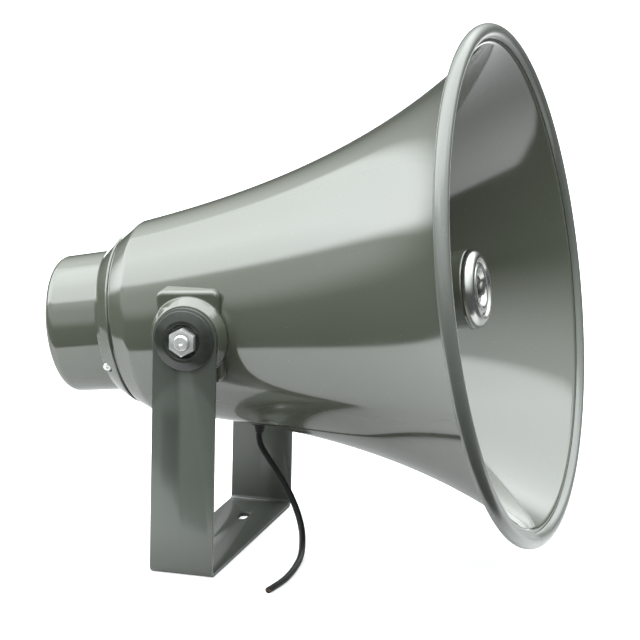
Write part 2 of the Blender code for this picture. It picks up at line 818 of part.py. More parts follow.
def phase_plug(horn, front):
    """The bullet before the dome, held in the throat by three fins."""
    outer = PLUG_SHARE * DOME_RADIUS
    neck = web_front()
    tip = flange_rear() + 2 * TUBE_FLANGE
    steps = 3
    radii = [outer * step / steps for step in range(steps + 1)]
    outline = [(front + dome_height(radius) + PLUG_GAP, radius) for radius in radii]
    outline += [(neck - 0.3 * WEB_THICKNESS, 0.8 * outer), (neck, 0.55 * outer), (tip, 0.0)]
    plug = turned("phase_plug", outline, 16, black_plastic(), horn)
    foot, reach, side = 0.15 * outer, THROAT_RADIUS - CLEARANCE, FIN_WALL / 2
    for index in range(3):
        profile = [(-side, foot), (side, foot), (side, reach), (-side, reach)]
        low, high = neck - side, flange_rear() + 0.75 * TUBE_FLANGE
        fin = prism(f"plug_fin_{index}", profile, low, high, black_plastic(), horn, "YZ")
        fin.rotation_euler = (index * math.tau / 3, 0, 0)
        join(plug, fin)
    return plug


def terminals(horn, plate_rear):
    """The terminal block at the foot of the magnet plate, with its two brass screws."""
    half_width = TERMINAL_WIDTH / 2
    low = MAGNET_RADIUS + 2 * CLEARANCE
    high = low + 0.9 * TERMINAL_DEPTH
    front = plate_rear - CLEARANCE
    rear = front - TERMINAL_DEPTH
    profile = [(-half_width, -high), (half_width, -high), (half_width, -low), (-half_width, -low)]
    block = prism("terminal_block", profile, rear, front, black_plastic(), horn, "YZ")
    depth = 3.2 * TERMINAL_SCREW_RADIUS
    reach = depth + CLEARANCE
    for index, side in enumerate((NEAR, FAR)):
        spot = (rear, side * 0.55 * half_width, -(low + high) / 2)
        bore = drill(f"terminal_bore_{index}", TERMINAL_SCREW_RADIUS, reach, reach, horn)
        bore.location = spot
        cut(block, bore)
        made = screw(f"terminal_screw_{index + 1}", TERMINAL_SCREW_RADIUS, depth, brass(), horn)
        made.location = spot
        made.rotation_euler = (0, 0, math.pi)


def boss_face():
    """How far from the horn axis the bosses' flat faces stand."""
    return WAIST_RADIUS + LUG_LENGTH


def leg_inside():
    return boss_face() + CLEARANCE


def strap_span():
    """The bracket's outside width, over both legs."""
    return 2 * (leg_inside() + STRAP_SHEET)


def facing(obj, side):
    """Turns local X to the outside of that leg, along the tilt axis."""
    obj.rotation_euler = (0, 0, side * math.pi / 2)
    return obj


def lug(name, side, horn):
    """A cast lug: its back fits the bell's side, and its round boss bears on the leg."""
    pad_face = boss_face() - BOSS_LENGTH
    half_width, half_height = LUG_WIDTH / 2, LUG_HEIGHT / 2
    outline = rounded(
        [
            (-half_width, -half_height, LUG_CORNER),
            (half_width, -half_height, LUG_CORNER),
            (half_width, half_height, LUG_CORNER),
            (-half_width, half_height, LUG_CORNER),
        ]
    )
    # The pad and the boss start inside the bell, which then cuts them to fit its side.
    low, high = sorted((side * 0.72 * pad_face, side * pad_face))
    body = prism(name, outline, low, high, enamel(), horn, "XZ")
    soften(body, side * pad_face, LUG_EDGE)
    body.rotation_euler = (0, -LUG_TURN, 0)
    root = 0.8 * pad_face
    profile = [
        (root, 0.0),
        (root, BOSS_RADIUS - LUG_CORNER),
        (pad_face - LUG_CORNER, BOSS_RADIUS),
        (boss_face(), BOSS_RADIUS, LUG_EDGE / 2),
        (boss_face(), 0.0),
    ]
    boss = turned(name + "_boss", rounded(profile), 24, enamel(), horn)
    join(body, facing(boss, side))
    cut(body, bell_form(name + "_seat", horn))
    low, high = boss_face() - STUD_SOCKET, boss_face() + BORE_REACH
    socket = rod(name + "_socket", STUD_RADIUS + CLEARANCE, low, high, 20, zinc(), horn)
    return cut(body, facing(socket, side))


def soften(obj, level, width):
    """Rounds the edges of the face of the object that lies at Y = level."""
    mesh = bmesh.new()
    mesh.from_mesh(obj.data)
    rim = [e for e in mesh.edges if all(abs(v.co.y - level) < 1e-6 for v in e.verts)]
    bmesh.ops.bevel(mesh, geom=rim, offset=width, segments=2, profile=0.5, affect="EDGES")
    mesh.to_mesh(obj.data)
    mesh.free()
    obj.data.shade_smooth()
    obj.data.set_sharp_from_angle(angle=SHARP_ANGLE)


def bell_form(name, horn):
    """The bell's outside round the tilt axis, a clearance larger, as a cutter."""
    reach = 0.6 * LUG_HEIGHT
    steps = 4
    outline = [(-reach, 0.0)]
    for step in range(steps + 1):
        along = reach * (2 * step / steps - 1)
        outline.append((along, flare_radius(along) + CLEARANCE))
    outline.append((reach, 0.0))
    return turned(name, outline, BELL_SEGMENTS, enamel(), horn)


def dish_seat():
    """The outside face of a leg, on which the dished washer stands."""
    return strap_span() / 2 + CLEARANCE


def nut_seat():
    return dish_seat() + DISH_SHEET + CLEARANCE


def dish_washer(name, side, pivot):
    """A dished washer: flat under the nut, then a ridge, then a slope down to the leg."""
    foot = dish_seat()
    floor = foot + DISH_SHEET
    flat = NUT_FLATS / math.sqrt(3) + 2 * CLEARANCE
    ridge = DISH_RIDGE - 1.6 * DISH_SHEET
    top = foot + DISH_HEIGHT
    rim = 0.7 * DISH_SHEET
    outline = rounded(
        [
            (foot, STUD_RADIUS + CLEARANCE),
            (floor, STUD_RADIUS + CLEARANCE),
            (floor, flat),
            (top, ridge),
            (top, DISH_RIDGE, DISH_SHEET),
            (foot + 1.1 * DISH_SHEET, DISH_RADIUS, rim),
            (foot, DISH_RADIUS - CLEARANCE),
        ]
    )
    return facing(turned(name, outline, 20, dark_steel(), pivot), side)


def stud(name, side, horn):
    """A threaded stud fixed in the lug's socket."""
    inner = boss_face() - STUD_SOCKET + CLEARANCE
    outer = nut_seat() + NUT_HEIGHT + STUD_END
    outline = [
        (inner, 0.0),
        (inner, STUD_RADIUS),
        (outer - STUD_CHAMFER, STUD_RADIUS),
        (outer, STUD_RADIUS - STUD_CHAMFER),
        (outer, 0.0),
    ]
    return facing(turned(name, outline, 20, zinc(), horn), side)


def hex_nut(name, flats, height, bore_radius, parent):
    """A hexagon nut along X from 0 to its height, its corners chamfered on both faces."""
    corner = flats / math.sqrt(3)
    outline = [
        (corner * math.sin(turn * math.tau / 6), corner * math.cos(turn * math.tau / 6)) for turn in range(6)
    ]
    body = prism(name, outline, 0.0, height, zinc(), parent, "YZ")
    ease = 0.45 * (corner - flats / 2)
    profile = [
        (-CLEARANCE, 0.0),
        (-CLEARANCE, flats / 2),
        (ease, corner + ease),
        (height - ease, corner + ease),
        (height + CLEARANCE, flats / 2),
        (height + CLEARANCE, 0.0),
    ]
    combine(body, turned(name + "_blank", profile, 36, zinc(), body), "INTERSECT")
    low, high = -BORE_REACH, height + BORE_REACH
    return cut(body, rod(name + "_bore", bore_radius + CLEARANCE, low, high, 20, zinc(), body))


def clamp(side, label, horn, pivot):
    """Everything that holds one side of the bell to its leg."""
    lug(f"lug_{label}", side, horn)
    stud(f"stud_{label}", side, horn)
    dish_washer(f"dish_washer_{label}", side, pivot)
    nut = hex_nut(f"stud_nut_{label}", NUT_FLATS, NUT_HEIGHT, STUD_RADIUS, horn)
    nut.location = (0, side * nut_seat(), 0)
    # The nut's corners stand straight up while the horn is tilted.
    upright = Matrix.Rotation(HORN_TILT, 3, "Y") @ Matrix.Rotation(side * math.pi / 2, 3, "Z")
    nut.rotation_euler = upright.to_euler()


def bracket():
    """The strap: one folded strip with round leg ends, pivot holes and two mounting slots."""
    half, top = strap_span() / 2, PIVOT_HEIGHT + STRAP_WIDTH
    inside = leg_inside()
    profile = rounded(
        [
            (-half, top),
            (-half, 0.0, STRAP_BEND),
            (half, 0.0, STRAP_BEND),
            (half, top),
            (inside, top),
            (inside, STRAP_SHEET, STRAP_BEND - STRAP_SHEET),
            (-inside, STRAP_SHEET, STRAP_BEND - STRAP_SHEET),
            (-inside, top),
        ]
    )
    body = prism("bracket", profile, -STRAP_WIDTH, STRAP_WIDTH, strap_paint(), None, "YZ")
    side = STRAP_WIDTH / 2
    leg = [Vector((-side, -side)), Vector((side, -side))]
    steps = 10
    for step in range(steps + 1):
        turn = math.pi * step / steps
        leg.append(Vector((side * math.cos(turn), PIVOT_HEIGHT + side * math.sin(turn))))
    reach = 2 * half
    combine(body, prism("leg_outline", leg, -reach, reach, strap_paint(), None, "XZ"), "INTERSECT")
    hole = rod("pivot_bore", STUD_RADIUS + CLEARANCE, -reach, reach, 20, strap_paint())
    hole.location = (0, 0, PIVOT_HEIGHT)
    cut(body, facing(hole, NEAR))
    # Just short of half the width, so that the two arcs of an end don't share a point.
    across, along = SLOT_WIDTH / 2, SLOT_LENGTH / 2
    bend = 0.999 * across
    corners = [(-across, -along), (across, -along), (across, along), (-across, along)]
    slot = rounded([(*corner, bend) for corner in corners])
    for index, end in enumerate((NEAR, FAR)):
        cutter = prism(f"slot_{index}", slot, -STRAP_SHEET, 2 * STRAP_SHEET, strap_paint())
        cutter.location = (0, end * SLOT_SPREAD / 2, 0)
        cut(body, cutter)
    return body


def at_gland(obj):
    """Stands an object of local X square to the belly, outwards, from the bell's surface."""
    obj.location = (GLAND_PLACE, 0, -flare_radius(GLAND_PLACE))
    obj.rotation_euler = (0, math.pi / 2 + flare_slope(GLAND_PLACE), 0)
    return obj


def inside_gland(depth):
    """The point that far inside the bell's surface on the gland's own axis."""
    slope = flare_slope(GLAND_PLACE)
    return GLAND_PLACE + depth * math.sin(slope), 0.0, -flare_radius(GLAND_PLACE) + depth * math.cos(slope)


def cable_gland(horn):
    """The rubber gland in the belly: a flat flange, a tapered neck below, a plug in the bore."""
    made = turned(
        "cable_gland",
        rounded(
            [
                (-GLAND_PLUG, 0.0),
                (-GLAND_PLUG, GLAND_NECK),
                (CLEARANCE, GLAND_NECK),
                (CLEARANCE, GLAND_RADIUS),
                (GLAND_FLANGE, GLAND_RADIUS, GLAND_FLANGE / 3),
                (GLAND_FLANGE + CLEARANCE, 1.9 * CABLE_RADIUS),
                (GLAND_LENGTH, 1.25 * CABLE_RADIUS),
                (GLAND_LENGTH, 0.0),
            ]
        ),
        16,
        rubber(),
        horn,
    )
    return at_gland(made)


def smooth_route(corners, spacing):
    """Points of a curve through the corners, about that far apart."""
    ends = [2 * corners[0] - corners[1], *corners, 2 * corners[-1] - corners[-2]]
    route = [corners[0]]
    for before, start, stop, after in zip(ends, ends[1:], ends[2:], ends[3:]):
        steps = max(1, round((stop - start).length / spacing))
        for step in range(1, steps + 1):
            t = step / steps
            squared = 2 * before - 5 * start + 4 * stop - after
            cubed = 3 * start - before - 3 * stop + after
            route.append(start + 0.5 * ((stop - before) * t + squared * t**2 + cubed * t**3))
    return route


def tube(name, corners, radius, paint, parent=None):
    """A round cord along a smooth curve through the corners."""
    data = bpy.data.curves.new(name, "CURVE")
    data.dimensions = "3D"
    data.bevel_depth = radius
    data.bevel_resolution = 2
    data.use_fill_caps = True
    data.materials.append(paint)
    route = smooth_route([Vector(corner) for corner in corners], 4 * radius)
    spline = data.splines.new("POLY")
    spline.points.add(len(route) - 1)
    for point, place_at in zip(spline.points, route):
        point.co = (*place_at, 1.0)
    obj = bpy.data.objects.new(name, data)
    bpy.context.scene.collection.objects.link(obj)
    obj.parent = parent
    return obj


def driver_lead(horn):
    """The cable's run inside the bell, from the gland back to the terminal block.

    It passes half way between the reflector's rear edge and the bell.
    """
    lane = (CUP_REAR_RADIUS + flare_radius(CUP_REAR) - BELL_WALL) / 2
    row = driver_screw_circle()
    drop = lane - row
    corners = [
        inside_gland(GLAND_PLUG + CLEARANCE),
        inside_gland(2 * GLAND_PLUG),
        (0.6 * GLAND_PLACE, 0, -1.05 * lane),
        (-0.6 * GLAND_PLACE, 0, -lane),
        (0.85 * CUP_REAR, 0, -0.98 * lane),
        (0.65 * BELL_REAR, 0, -lane + 0.30 * drop),
        (0.80 * BELL_REAR, 0, -lane + 0.78 * drop),
        (0.91 * BELL_REAR, 0, -row),
        (web_front(), 0, -row),
        (plate_front() - PLATE_THICKNESS, 0, -row),
    ]
    return tube("driver_lead", corners, CABLE_RADIUS, cable_jacket(), horn)


def cable():
    """The short lead from the gland down to the surface, where it ends in a plain cut."""
    corners = [
        (0.0285, 0.0, 0.0890), (0.0284, 0.0, 0.0850), (0.0302, 0.0, 0.0785),
        (0.0362, 0.0, 0.0695), (0.0430, 0.0, 0.0604), (0.0495, -0.0003, 0.0508),
        (0.0552, -0.0012, 0.0416), (0.0603, -0.0032, 0.0325), (0.0648, -0.0068, 0.0240),
        (0.0686, -0.0124, 0.0160), (0.0713, -0.0200, 0.0092), (0.0734, -0.0288, 0.0047),
        (0.0750, -0.0385, 0.0028), (0.0766, -0.0490, 0.0026), (0.0779, -0.0605, 0.0026),
        (0.0789, -0.0720, 0.0026), (0.0794, -0.0840, 0.0026), (0.0793, -0.0950, 0.0026),
        (0.0784, -0.1055, 0.0026), (0.0771, -0.1155, 0.0026), (0.0755, -0.1250, 0.0026),
    ]
    return tube("speaker_cable", corners, CABLE_RADIUS, cable_jacket())


def build():
    clear_scene()
    pivot = bpy.data.objects.new("pivot", None)
    pivot.location = (0, 0, PIVOT_HEIGHT)
    horn = bpy.data.objects.new("horn_frame", None)
    horn.parent = pivot
    horn.rotation_euler = (0, -HORN_TILT, 0)
    for empty in (pivot, horn):
        bpy.context.scene.collection.objects.link(empty)
    bracket()
    bell(horn)
    rim_trim(horn)
    mounting_ring(horn)
    driver_cover(horn)
    screws(horn)
    driver(horn)
    throat_tube(horn)
    spider(horn)
    reflector(horn)
    reflector_cap(horn)
    tie_hardware(horn)
    clamp(NEAR, "right", horn, pivot)
    clamp(FAR, "left", horn, pivot)
    cable_gland(horn)
    driver_lead(horn)
    cable()


build()
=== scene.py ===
import json
import math

import bmesh
import bpy
from mathutils import Matrix, Vector


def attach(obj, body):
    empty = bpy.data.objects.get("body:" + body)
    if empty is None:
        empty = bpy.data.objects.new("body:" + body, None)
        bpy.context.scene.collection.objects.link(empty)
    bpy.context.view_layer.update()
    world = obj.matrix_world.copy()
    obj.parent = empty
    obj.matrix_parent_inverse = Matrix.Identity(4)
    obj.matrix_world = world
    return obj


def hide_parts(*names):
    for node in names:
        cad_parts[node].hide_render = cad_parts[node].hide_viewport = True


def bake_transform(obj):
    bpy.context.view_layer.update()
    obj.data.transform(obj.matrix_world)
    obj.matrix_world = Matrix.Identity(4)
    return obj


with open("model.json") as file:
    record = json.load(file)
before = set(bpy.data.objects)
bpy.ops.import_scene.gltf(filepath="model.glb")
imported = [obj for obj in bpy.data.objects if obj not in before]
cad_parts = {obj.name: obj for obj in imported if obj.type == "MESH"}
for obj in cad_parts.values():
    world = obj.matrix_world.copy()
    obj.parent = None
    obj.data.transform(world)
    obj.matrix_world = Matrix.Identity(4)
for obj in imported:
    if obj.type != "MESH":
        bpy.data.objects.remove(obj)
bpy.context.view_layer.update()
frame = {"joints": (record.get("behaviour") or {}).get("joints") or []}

# Camera: a long lens from the right, a little above the horn's axis, turned slightly about its
# own line of sight. It looks at a point just before the tilt axis, at the axis's height.
FRAME_WIDTH = 640  # of the picture, in pixels
FOCAL_LENGTH = 3817.06  # in the same pixels
CAMERA_AZIMUTH = math.radians(15.79)
CAMERA_ELEVATION = math.radians(13.57)
CAMERA_ROLL = math.radians(1.41)
CAMERA_DISTANCE = 2.94481
CAMERA_TARGET = Vector((0.07544, 0.0, 0.18352))

backward = Vector((
    math.sin(CAMERA_AZIMUTH) * math.cos(CAMERA_ELEVATION),
    -math.cos(CAMERA_AZIMUTH) * math.cos(CAMERA_ELEVATION),
    math.sin(CAMERA_ELEVATION),
))
level = Vector((math.cos(CAMERA_AZIMUTH), math.sin(CAMERA_AZIMUTH), 0.0))
upright = backward.cross(level)
across = level * math.cos(CAMERA_ROLL) + upright * math.sin(CAMERA_ROLL)
camera = bpy.data.objects.new("camera", bpy.data.cameras.new("camera"))
camera.data.lens = FOCAL_LENGTH / FRAME_WIDTH * camera.data.sensor_width
camera.matrix_world = Matrix.Translation(CAMERA_TARGET + backward * CAMERA_DISTANCE) @ Matrix(
    (across, backward.cross(across), backward)
).transposed().to_4x4()
bpy.context.scene.collection.objects.link(camera)
bpy.context.scene.camera = camera


# Cable: a round two-core lead with a black jacket, hanging from the gland in the belly and lying
# on the surface in front of the bracket. Its plain cut end shows the copper of both cores.
class Wire:
    """A node's output. Arithmetic on it adds the nodes that work the result out."""

    def __init__(self, finish, socket):
        self.finish = finish
        self.socket = socket

    def combined(self, operation, one, other):
        kind = "ShaderNodeMath" if self.socket.type == "VALUE" else "ShaderNodeVectorMath"
        return self.finish.node(kind, {"operation": operation}, {0: one, 1: other})

    def __add__(self, other):
        return self.combined("ADD", self, other)

    def __radd__(self, other):
        return self.combined("ADD", other, self)

    def __sub__(self, other):
        return self.combined("SUBTRACT", self, other)

    def __rsub__(self, other):
        return self.combined("SUBTRACT", other, self)

    def __mul__(self, other):
        return self.combined("MULTIPLY", self, other)

    def __rmul__(self, other):
        return self.combined("MULTIPLY", other, self)

    def least(self, other):
        return self.combined("MINIMUM", self, other)

    def most(self, other):
        return self.combined("MAXIMUM", self, other)

    def step(self, low, high):
        """0 below low, 1 above high and a smooth rise between them. With low above high it falls."""
        turned = low > high
        inputs = {"Value": self, "From Min": min(low, high), "From Max": max(low, high)}
        inputs.update({"To Min": 1.0, "To Max": 0.0} if turned else {"To Min": 0.0, "To Max": 1.0})
        return self.finish.node("ShaderNodeMapRange", {"interpolation_type": "SMOOTHSTEP"}, inputs)


class Finish:
    """The node tree of a material or of the world."""

    def __init__(self, owner):
        owner.use_nodes = True
        self.tree = owner.node_tree
        self.tree.nodes.clear()
        self.owner = owner

    def node(self, kind, settings=None, inputs=None, output=0):
        """Adds a node with these settings and inputs, and gives that output of it."""
        made = self.tree.nodes.new(kind)
        for name, value in (settings or {}).items():
            setattr(made, name, value)
        for name, value in (inputs or {}).items():
            socket = made.inputs[name]
            if isinstance(value, Wire):
                self.tree.links.new(value.socket, socket)
            elif socket.type == "RGBA":
                socket.default_value = (*value, 1.0)
            elif socket.type == "VECTOR" and not hasattr(value, "__len__"):
                socket.default_value = (value, value, value)
            else:
                socket.default_value = value
        return Wire(self, made.outputs[output]) if made.outputs else None

    def place(self):
        """The point on the piece, in metres, in its own frame."""
        return self.node("ShaderNodeTexCoord", output="Object")

    def noise(self, point, scale, detail=3.0, roughness=0.5):
        """Random variation about 0.5. Its features are about a metre over the scale in size."""
        settings = {"Vector": point, "Scale": scale, "Detail": detail, "Roughness": roughness}
        return self.node("ShaderNodeTexNoise", None, settings)

    def parts(self, point):
        """The point's X, Y and Z."""
        split = self.node("ShaderNodeSeparateXYZ", None, {"Vector": point}).socket.node
        return [Wire(self, socket) for socket in split.outputs]

    def mix(self, one, other, share):
        """One colour turning into the other as the share goes from 0 to 1."""
        sockets = {0: share, 6: one, 7: other}
        return self.node("ShaderNodeMix", {"data_type": "RGBA"}, sockets, output=2)

    def measure(self, operation, one, other):
        """The number that an operation, such as a distance, gives for two vectors."""
        settings = {"operation": operation}
        return self.node("ShaderNodeVectorMath", settings, {0: one, 1: other}, output="Value")

    def bump(self, height, distance, below=None):
        """The normal of a surface with that height map, whose 0 to 1 is the distance in metres."""
        inputs = {"Height": height, "Distance": distance, "Strength": 1.0}
        if below is not None:
            inputs["Normal"] = below
        return self.node("ShaderNodeBump", None, inputs)

    def surface(self, **inputs):
        """Ends the tree in a Principled shader with these inputs, spaces written as underscores."""
        named = {name.replace("_", " "): value for name, value in inputs.items()}
        shader = self.node("ShaderNodeBsdfPrincipled", None, named)
        self.node("ShaderNodeOutputMaterial", None, {"Surface": shader})
        return self.owner


def finish(name):
    return Finish(bpy.data.materials.new(name))


def shade(piece, material, corner=math.radians(32)):
    """Gives the piece its material, smooth on curves and sharp where it bends more than that."""
    piece.data.materials.clear()
    piece.data.materials.append(material)
    piece.data.shade_smooth()
    piece.data.set_sharp_from_angle(angle=corner)
    return piece


def skin(name, rings, material, wrap=False):
    """A surface through rings of as many points each, closed by the last ring or by two ends."""
    mesh = bmesh.new()
    rows = [[mesh.verts.new(point) for point in ring] for ring in rings]
    for one, other in zip(rows, rows[1:] + (rows[:1] if wrap else [])):
        for corners in zip(one, one[1:] + one[:1], other[1:] + other[:1], other):
            mesh.faces.new(corners)
    if not wrap:
        mesh.faces.new(rows[0])
        mesh.faces.new(rows[-1])
    bmesh.ops.recalc_face_normals(mesh, faces=mesh.faces)
    data = bpy.data.meshes.new(name)
    mesh.to_mesh(data)
    mesh.free()
    piece = bpy.data.objects.new(name, data)
    bpy.context.scene.collection.objects.link(piece)
    return shade(piece, material)


def smooth_route(corners, spacing):
    """Points of a curve through the corners, about that far apart."""
    ends = [2 * corners[0] - corners[1], *corners, 2 * corners[-1] - corners[-2]]
    route = [corners[0]]
    for before, start, stop, after in zip(ends, ends[1:], ends[2:], ends[3:]):
        steps = max(1, round((stop - start).length / spacing))
        for step in range(1, steps + 1):
            t = step / steps
            squared = 2 * before - 5 * start + 4 * stop - after
            cubed = 3 * start - before - 3 * stop + after
            route.append(start + 0.5 * ((stop - before) * t + squared * t**2 + cubed * t**3))
    return route


def tube(name, route, radius, material, sides=20):
    """A round cord along the route."""
    rings = []
    side = Vector((0.0, 1.0, 0.0))
    for index, point in enumerate(route):
        ahead = (route[min(index + 1, len(route) - 1)] - route[max(index - 1, 0)]).normalized()
        side = (side - ahead * side.dot(ahead)).normalized()
        other = ahead.cross(side)
        turns = [math.tau * step / sides for step in range(sides)]
        rings.append([point + radius * (side * math.cos(t) + other * math.sin(t)) for t in turns])
    return skin(name, rings, material)


def jacket_finish(cut_cores):
    """Black rubber, with copper where the two cores end."""
    paint = finish("cable_jacket")
    point = paint.place()
    mottle = paint.noise(point, 90.0)
    scuffs = paint.noise(point, 700.0, 2.0).step(0.62, 0.72)
    colour = paint.mix((0.004, 0.004, 0.004), (0.009, 0.009, 0.009), mottle)
    colour = paint.mix(colour, (0.022, 0.022, 0.021), scuffs * 0.5)
    one, other = [paint.measure("DISTANCE", point, core).step(CORE_RADIUS, CORE_EDGE) for core in cut_cores]
    copper = one.most(other)
    return paint.surface(
        Base_Color=paint.mix(colour, (0.16, 0.08, 0.05), copper),
        Metallic=copper,
        Roughness=0.42 + mottle * 0.12 + scuffs * 0.15,
        Specular_IOR_Level=0.30,
        Normal=paint.bump(paint.noise(point, 1100.0, 2.0), 0.00004),
    )


CABLE_RADIUS = 0.0025
CORE_SPACING = 0.0022
CORE_RADIUS = 0.0008
CORE_EDGE = 0.0007
CABLE_STEP = 0.0015
CABLE_CORNERS = [
    (0.0285, 0.0, 0.0890), (0.0284, 0.0, 0.0850), (0.0302, 0.0, 0.0785),
    (0.0362, 0.0, 0.0695), (0.0430, 0.0, 0.0604), (0.0495, -0.0003, 0.0508),
    (0.0552, -0.0012, 0.0416), (0.0603, -0.0032, 0.0325), (0.0648, -0.0068, 0.0240),
    (0.0686, -0.0124, 0.0160), (0.0713, -0.0200, 0.0092), (0.0734, -0.0288, 0.0047),
    (0.0750, -0.0385, 0.0028), (0.0766, -0.0490, 0.0026), (0.0779, -0.0605, 0.0026),
    (0.0789, -0.0720, 0.0026), (0.0794, -0.0840, 0.0026), (0.0793, -0.0950, 0.0026),
    (0.0784, -0.1055, 0.0026), (0.0771, -0.1155, 0.0026), (0.0755, -0.1250, 0.0026),
]
cable_route = smooth_route([Vector(corner) for corner in CABLE_CORNERS], CABLE_STEP)
apart = (cable_route[-1] - cable_route[-2]).cross(Vector((0, 0, 1))).normalized() * CORE_SPACING / 2
jacket = jacket_finish([cable_route[-1] - apart, cable_route[-1] + apart])
cable = tube("pigtail", cable_route, CABLE_RADIUS, jacket)
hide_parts("speaker_cable")
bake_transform(cable)


# Bracket: one strip of steel with punched slots and pivot holes, round at both ends, folded to a U
# and painted. It is made as the flat blank, and then folded. Painted shade darkens the paint over
# the legs' round ends and at the foot, and a painted dark reflection runs down the rear half of each leg.
PIVOT = Vector(frame["joints"][0]["pos_m"])
# Painted shade on each leg's round end: how far below the pivot its lower edge reaches, and how much that
# edge arches.
SHADED_END_REACH = 0.0315  # below the pivot, at the middle of the leg
SHADED_END_ARCH = 33.0  # of its lower edge, which rises with the square of the distance
# Painted dark reflection down each leg: where it is centred across the leg, and its width.
DARK_REFLECTION_PLACE = -0.010
DARK_REFLECTION_SPREAD = 0.00009  # the square of its half width


def rounded(corners, step=math.radians(9)):
    """The outline through these corners, (x, y) or (x, y, radius), each radius as an arc."""
    points = []
    for index, corner in enumerate(corners):
        here = Vector(corner[:2])
        radius = corner[2] if len(corner) > 2 else 0.0
        if radius == 0.0:
            points.append(here)
            continue
        before = (Vector(corners[index - 1][:2]) - here).normalized()
        after = (Vector(corners[(index + 1) % len(corners)][:2]) - here).normalized()
        half = before.angle(after) / 2
        centre = here + (before + after).normalized() * radius / math.sin(half)
        start = here + before * radius / math.tan(half) - centre
        turn = start.angle_signed(here + after * radius / math.tan(half) - centre)
        steps = max(2, round(abs(turn) / step))
        for count in range(steps + 1):
            arm = start.copy()
            arm.rotate(Matrix.Rotation(-turn * count / steps, 2))
            points.append(centre + arm)
    return points


def slab(name, outline, low, high, material, turn=None):
    """The outline, flat in X and Y, raised from low to high, and then turned by the matrix."""
    piece = skin(name, [[(x, y, level) for x, y in outline] for level in (low, high)], material)
    if turn is not None:
        piece.data.transform(turn)
    return piece


def settled(piece):
    """The piece with its modifiers worked into its mesh."""
    bpy.context.view_layer.update()
    graph = bpy.context.evaluated_depsgraph_get()
    mesh = bpy.data.meshes.new_from_object(piece.evaluated_get(graph))
    piece.modifiers.clear()
    piece.data = mesh
    return piece


def worked(piece, tools, operation="DIFFERENCE"):
    """The piece cut by, joined to or kept inside the tools, which are used up."""
    bpy.context.view_layer.update()
    mesh = bmesh.new()
    for tool in tools:
        tool.data.transform(piece.matrix_world.inverted() @ tool.matrix_world)
        mesh.from_mesh(tool.data)
    first, *others = tools
    for tool in others:
        bpy.data.objects.remove(tool)
    mesh.to_mesh(first.data)
    mesh.free()
    first.matrix_world = piece.matrix_world
    change = piece.modifiers.new("work", "BOOLEAN")
    change.operation = operation
    change.object = first
    settled(piece)
    bpy.data.objects.remove(first)
    return piece


def eased(piece, width, segments=2, angle=math.radians(40)):
    """The piece with its corners rounded by that width."""
    change = piece.modifiers.new("eased", "BEVEL")
    change.width = width
    change.segments = segments
    change.limit_method = "ANGLE"
    change.angle_limit = angle
    settled(piece)
    return shade(piece, piece.data.materials[0])


def stands_for(piece, node, body):
    """Puts the piece in the place of a CAD node, which it hides, on that body."""
    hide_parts(node)
    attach(piece, body)
    return piece


def strap_paint():
    paint = finish("bracket_paint")
    point = paint.place()
    clouds = paint.noise(point, 14.0, 4.0)
    grain = paint.noise(point, 900.0, 2.0)
    colour = paint.mix((0.068, 0.077, 0.064), (0.088, 0.098, 0.084), clouds)
    specks = paint.noise(point, 520.0, 1.0).step(0.70, 0.74)
    along, _, height = paint.parts(point)
    # Painted shade: the leg's round end about the pivot, above an arched line, is darkened.
    above_arch = height - PIVOT.z + SHADED_END_REACH + SHADED_END_ARCH * along * along + 0.004 * clouds
    shaded_end = above_arch.step(-0.003, 0.007)
    # Painted shade: the foot and the bottom of the legs are darkened.
    low = height.step(0.045, 0.002)
    # Painted dark reflection: a vertical band down the rear half of each leg.
    aside = along - DARK_REFLECTION_PLACE
    dark_reflection = height.step(0.060, 0.085) * height.step(0.137, 0.120)
    dark_reflection = dark_reflection * (aside * aside).step(DARK_REFLECTION_SPREAD, 0.0)
    # The painted shade and the painted reflection darken the paint's colour.
    painted_shade_and_reflection = (shaded_end * 0.4).most(low * 0.7).most(dark_reflection * 0.6)
    colour = paint.mix(colour, (0.030, 0.034, 0.028), painted_shade_and_reflection)
    return paint.surface(
        Base_Color=paint.mix(colour, (0.05, 0.055, 0.05), specks * 0.5),
        Roughness=0.30 + 0.12 * clouds,
        Normal=paint.bump(grain, 0.00002),
        Coat_Weight=0.6 + 0.3 * clouds,
        Coat_Roughness=0.13,
    )


STRAP_SPAN = 0.212
STRAP_WIDTH = 0.050
STRAP_SHEET = 0.003
STRAP_BEND = 0.006
STRAP_EASE = 0.0004
SLOT_LENGTH = 0.018
SLOT_WIDTH = 0.0075
SLOT_SPREAD = 0.110
STUD_RADIUS = 0.006
CLEARANCE = 0.0003
CUT_REACH = 0.01  # of a cutting tool past what it cuts
FOLD_STEPS = 10
base_half = STRAP_SPAN / 2 - STRAP_BEND
fold_radius = STRAP_BEND - STRAP_SHEET / 2
fold_length = fold_radius * math.pi / 2
leg_start = base_half + fold_length
pivot_place = leg_start + PIVOT.z - STRAP_BEND
half_width = STRAP_WIDTH / 2
blank_end = [
    (half_width * math.cos(turn), pivot_place + half_width * math.sin(turn))
    for turn in [math.pi * step / 60 for step in range(61)]
]
circle = [math.tau * step / 64 for step in range(64)]
bore = STUD_RADIUS + CLEARANCE
slot_side = 0.999 * SLOT_WIDTH / 2  # a little less, so that its round ends have a flat between them
slot_reach = SLOT_LENGTH / 2
oblong = rounded([
    (-slot_side, -slot_reach, slot_side),
    (slot_side, -slot_reach, slot_side),
    (slot_side, slot_reach, slot_side),
    (-slot_side, slot_reach, slot_side),
])
blank = slab("strap", blank_end + [(-x, -y) for x, y in blank_end], 0.0, STRAP_SHEET, strap_paint())
holes = []
